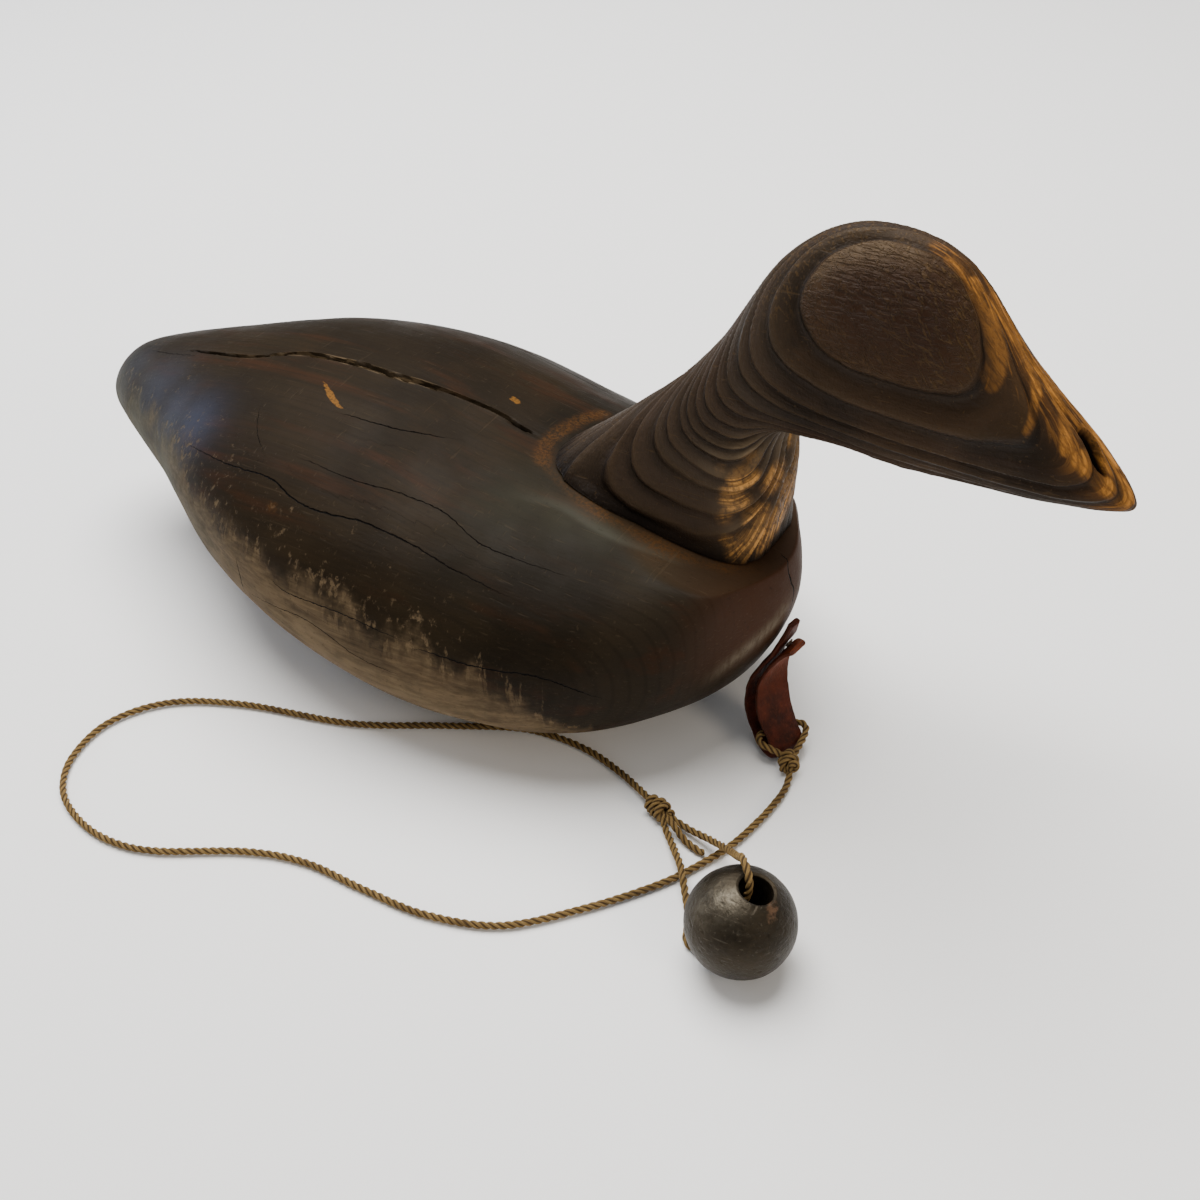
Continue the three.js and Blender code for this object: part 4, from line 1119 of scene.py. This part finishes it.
def headWood(s):
    material, tree, shader = newMaterial("wornHeadWood")
    straight = place(tree)
    x, _, z = put(tree, "SeparateXYZ", {0: straight})
    wear = placeGroup(handlingWear, Vector=straight)
    fibres = placeGroup(woodFibres, Vector=place(tree, (1, 0.5, 0.07), (0, 0.7, 0)), Size=0.95)
    plateau, amber = field(tree, "plateau"), field(tree, "amber")
    notPlateau = 1.0 - plateau * 0.9
    # f runs from 0 to 1 between two hard rims
    f = x.maths("FRACT", field(tree, "ring"))
    nearRim = f.eased(0.28, 0.0).orMore(f.eased(0.92, 1.0))
    # painted shade in the worn hollows between the rims
    under = f.eased(0.35, 0.74) * f.eased(0.97, 0.86) * (1.0 - field(tree, "calm") * 0.8)
    # painted shadow line at each step
    step = f - 0.83
    step = step.maths("ABSOLUTE", step).eased(0.09, 0.0) * (0.55 - field(tree, "calm") * 0.5)
    # thin layers inside each growth layer
    slide = put(tree, "CombineXYZ", {0: field(tree, "level"), 1: x * 0.035, 2: z * 0.035})[0]
    layers = noise(slide, 1 / 1.5, 4, 0.62)
    lines = noise(slide, 1 / 0.62, 3, 0.7).eased(0.49, 0.62)
    lines = lines * noise(place(tree, (1, 1, 0.25), (0, 0.75, 0)), 1.6, 3, 0.7).eased(0.3, 0.55, 0.45, 1.0)
    # tool marks aslant, two ways
    aslant = noise(grain(tree, (0.13, 1, 1), (0, 1.0, 0)), 1.15, 3, 0.65, 0.3).eased(0.52, 0.64)
    counter = noise(grain(tree, (0.13, 1, 1), (0, 0.35, 0)), 1.4, 3, 0.6, 0.3).eased(0.56, 0.67)
    crossing = aslant.orMore(counter)
    # gold and straw coloured wood laid bare; the straw on the front of the neck is also painted brighter, standing in
    # for the light that falls there
    golden = field(tree, "gold").eased(0.3, 0.85) * notPlateau * (0.3 + lines * 0.7)
    golden = golden * noise(grain(tree, (0.07, 1, 1), (0, 0.86, 0)), 1.0, 3, 0.7).eased(0.36, 0.58, 0.42, 1.15)
    golden = golden.orMore(amber.eased(0.15, 0.8) * notPlateau * (layers.eased(0.52, 0.6) * 0.45))
    straw = field(tree, "litBareFacet").eased(0.35, 0.8) * (0.25 + lines * 0.9)
    straw = straw * noise(grain(tree, (1, 1, 0.3), (0.5, 0.2, 0)), 1.7, 4, 0.7).eased(0.36, 0.56, 0.35, 1.05)
    colour = tinted(
        s, mixed(noise(straight, 30, 3).eased(0.35, 0.65), s["dark"], s["brown"]),
        (layers.eased(0.35, 0.65) * 0.35, "brown"),
        (noise(slide, 1 / 0.13, 2).eased(0.42, 0.6, 0.0, 0.6), "red"),
        (x.eased(122, 98, 0.0, 0.5), "neck"),
        (plateau * 0.75, "red"),
        (crossing * (plateau * x.eased(132, 166, 0.12, 0.5)), "olive"),
        (aslant * field(tree, "crown") * 0.8, "olive"),
        (nearRim * 0.16, "olive"),
        (amber.eased(0.05, 0.8) * (notPlateau * lines.eased(0.0, 0.6, 0.35, 0.85)), "amber"),
        (golden, "gold"),
        # bare wood, painted brighter for the light on the front of the neck
        (straw, "straw"),
        (field(tree, "shade") * 0.6, "dark"),
        # painted highlights on the rims
        (field(tree, "pale") * f.eased(0.75, 0.1) * 0.65, "pale"),
        # painted shade in the hollows between the rims
        (under * 0.6, "dark"),
        # painted shadow line at each step
        (step, "black"),
        # painted shadow round the neck's foot
        (field(tree, "foot") * 0.75, "black"),
        (wear["Scratches"] * 0.3, "olive"),
        # painted shade in the bill's slit
        (field(tree, "slit"), "black"),
    )
    wrinkles = noise(place(tree, (0.2, 1, 1), (0, 0.3, 0)), 1.9, 3, 0.6, 0.5).eased(0.4, 0.62)
    height = (wrinkles + crossing) * (0.05 + plateau * 0.34) - under * 0.3
    height = height + layers * 0.28 + fibres["Streaks"] * 0.10 - wear["Scratches"] * 0.07
    finishShader(shader, colour, 0.40 + wear["Smudge"] * 0.14 + golden * 0.08, height, s["gloss"])
    return material


leatherFinish = {
    "deep": (0.022, 0.0042, 0.0016, 1),
    "red": (0.064, 0.0104, 0.0034, 1),
    # worn: worn leather, and the painted light on the outer end
    "worn": (0.16, 0.036, 0.010, 1),
    "edge": (0.042, 0.0140, 0.0062, 1),
    "gloss": 0.13,
}


def strapLeather(s):
    material, tree, shader = newMaterial("wornLeather")
    straight = place(tree)
    wear = placeGroup(handlingWear, Vector=straight)
    edge = field(tree, "edge")
    flesh = noise(place(tree, (1, 1, 0.35)), 1.1, 5, 0.7)
    colour = tinted(
        s, mixed(noise(straight, 7, 4, 0.6).eased(0.35, 0.68), s["deep"], s["red"]),
        (flesh.eased(0.5, 0.75) * 0.35, "worn"),
        # painted light on the outer end's flap
        (field(tree, "litStrapEnd") * 0.7, "worn"),
    )
    colour = mixed(edge * 0.8, colour, mixed(flesh, s["edge"], s["red"]))
    colour = tinted(s, colour, (wear["Specks"] * 0.4, "deep"))
    pores = put(tree, "TexVoronoi", {"Vector": straight, "Scale": 1.1}, feature="F1")[0]
    folds = noise(place(tree, (1, 1, 0.5)), 3.5, 3, 0.6, 0.5)
    height = pores * 0.10 + folds * 0.55 + flesh * edge * 0.6
    finishShader(shader, colour, 0.5 + wear["Smudge"] * 0.2, height, s["gloss"])
    return material


nailFinish = {
    "iron": (0.22, 0.18, 0.14, 1),
    "rust": (0.06, 0.026, 0.011, 1),
    "dark": (0.03, 0.016, 0.010, 1),
}


def nailIron(s):
    material, tree, shader = newMaterial("rustedIron")
    rust = noise(place(tree), 0.9, 4, 0.65).eased(0.42, 0.6)
    colour = tinted(s, mixed(rust, s["iron"], s["rust"]), (field(tree, "rimDark") * 0.7, "dark"))
    (0.8 - rust * 0.7).feed(shader.inputs["Metallic"])
    finishShader(shader, colour, 0.4 + rust * 0.4, rust * 0.15)
    return material


twineFinish = {
    # groove: painted shade between the strands
    "groove": (0.046, 0.025, 0.0085, 1),
    "fibre": (0.158, 0.094, 0.029, 1),
    "pale": (0.28, 0.182, 0.066, 1),
    "dirt": (0.062, 0.035, 0.012, 1),
    "gloss": 0.25,
}


def twineFibre(s):
    material, tree, shader = newMaterial("laidTwine")
    along, round, _ = put(tree, "SeparateXYZ", {0: put(tree, "UVMap", {}, uv_map="route")[0]})
    # fibres run along the strands, which wind once round in each lay length
    angle = (round - along / twine["layLength"]) * fullTurn
    across, up = (angle.maths(operation, angle) * 1.4 for operation in ("COSINE", "SINE"))
    fibre = noise(put(tree, "CombineXYZ", {0: across, 1: up, 2: along * 0.16})[0], 1 / 2.6, 4, 0.7)
    straight = place(tree)
    colour = tinted(
        s, mixed(fibre.eased(0.35, 0.68), s["fibre"], s["pale"]),
        (noise(straight, 14, 3, 0.6).eased(0.48, 0.72, 0.0, 0.6), "dirt"),
        # painted shade in the grooves between the strands
        (field(tree, "ridge").eased(0.85, 0.0), "groove"),
    )
    height = fibre * 0.5 + noise(straight, 0.5, 3, 0.55) * 0.15
    finishShader(shader, colour, 0.78 + fibre * 0.15, height, s["gloss"])
    return material


leadFinish = {
    "grey": (0.0300, 0.0212, 0.0105, 1),
    "dark": (0.0118, 0.0081, 0.0036, 1),
    "bright": (0.20, 0.175, 0.13, 1),
    "oxide": (0.10, 0.046, 0.017, 1),
    "white": (0.10, 0.085, 0.062, 1),
}


def castLead(s):
    material, tree, shader = newMaterial("oldLead")
    straight = place(tree)
    wear = placeGroup(handlingWear, Vector=straight)
    bloom = noise(place(tree, (1, 0.8, 1.2)), 6.5, 5, 0.72).eased(0.58, 0.78, 0.0, 0.35)
    oxide = (field(tree, "oxide") + (noise(straight, 2.4, 4, 0.65) - 0.5) * 1.6).eased(0.4, 0.85)
    colour = tinted(
        s, mixed(wear["Smudge"], s["dark"], s["grey"]),
        (noise(straight, 2.2, 5, 0.7).eased(0.48, 0.7, 0.0, 0.6), "grey"),
        (bloom, "white"),
        (wear["Scratches"] * 0.12, "bright"),
        (field(tree, "shine") * noise(straight, 3, 4, 0.7).eased(0.3, 0.7, 0.2, 0.75), "bright"),
        (oxide * 0.8, "oxide"),
        (field(tree, "pits").eased(0.08, 0.4, 0.0, 0.7), "dark"),
        # painted shade inside the bore
        (field(tree, "inside") * 0.55, "dark"),
    )
    (0.75 - oxide.orMore(bloom) * 0.5).feed(shader.inputs["Metallic"])
    height = noise(straight, 1.3, 5, 0.65) * 0.24 + wear["Scratches"] * -0.08 - wear["Specks"] * 0.12
    finishShader(shader, colour, 0.42 + wear["Smudge"] * 0.16, height)
    return material


dress(decoyBody, bodyWood(bodyFinish))
dress(decoyHead, headWood(headFinish))
dress(leatherStrap, strapLeather(leatherFinish))
dress(loopNail, nailIron(nailFinish))
laidTwine = twineFibre(twineFinish)
for corded in (anchorLine, weightLine, knotTail, knotOfLine, knotOfLoop):
    dress(corded, laidTwine)
dress(castBall, castLead(leadFinish))
report("finishes mixed")

studio = {
    "floorColour": (0.95, 0.95, 0.95, 1),
    "floorRough": 0.9,
    "floorGloss": 0.1,
    "floorReach": 4.0,  # in m
    "floorHeight": -0.0004,
    "worldStrength": 0.34,
    # name, place in m, aim in m, size in m, power, colour
    "lamps": [
        ("overhead", (-0.30, 0.30, 1.5), (0.0, 0.0, 0.05), 1.5, 56, (1.0, 0.98, 0.95)),
        ("tailWindow", (-1.5, 0.1, 0.5), (-0.1, 0.0, 0.08), 0.6, 5, (0.72, 0.82, 1.0)),
        ("frontWarm", (1.3, -0.35, 0.7), (0.1, 0.0, 0.12), 0.5, 5, (1.0, 0.86, 0.68)),
    ],
}


def makeStudio(s):
    mesh = bpy.data.meshes.new("studioFloor")
    reach, height = s["floorReach"], s["floorHeight"]
    corners = [(x * reach, y * reach, height) for x, y in ((-1, -1), (1, -1), (1, 1), (-1, 1))]
    mesh.from_pydata(corners, [], [(0, 1, 2, 3)])
    floor = bpy.data.objects.new("studioFloor", mesh)
    bpy.context.collection.objects.link(floor)
    material, _, shader = newMaterial("paleFloor")
    shader.inputs["Base Color"].default_value = s["floorColour"]
    shader.inputs["Roughness"].default_value = s["floorRough"]
    shader.inputs["Specular IOR Level"].default_value = s["floorGloss"]
    dress(floor, material)
    world = bpy.data.worlds.new("studioLight")
    world.use_nodes = True
    background = world.node_tree.nodes["Background"]
    background.inputs["Color"].default_value = (1, 1, 1, 1)
    background.inputs["Strength"].default_value = s["worldStrength"]
    bpy.context.scene.world = world
    for name, spot, aim, size, power, tint in s["lamps"]:
        data = bpy.data.lights.new(name, "AREA")
        data.shape = "DISK"
        data.size = size
        data.energy = power
        data.color = tint
        lamp = bpy.data.objects.new(name, data)
        bpy.context.collection.objects.link(lamp)
        lamp.location = spot
        lamp.rotation_euler = (Vector(aim) - Vector(spot)).to_track_quat("-Z", "Y").to_euler()


makeStudio(studio)
report("studio lit")
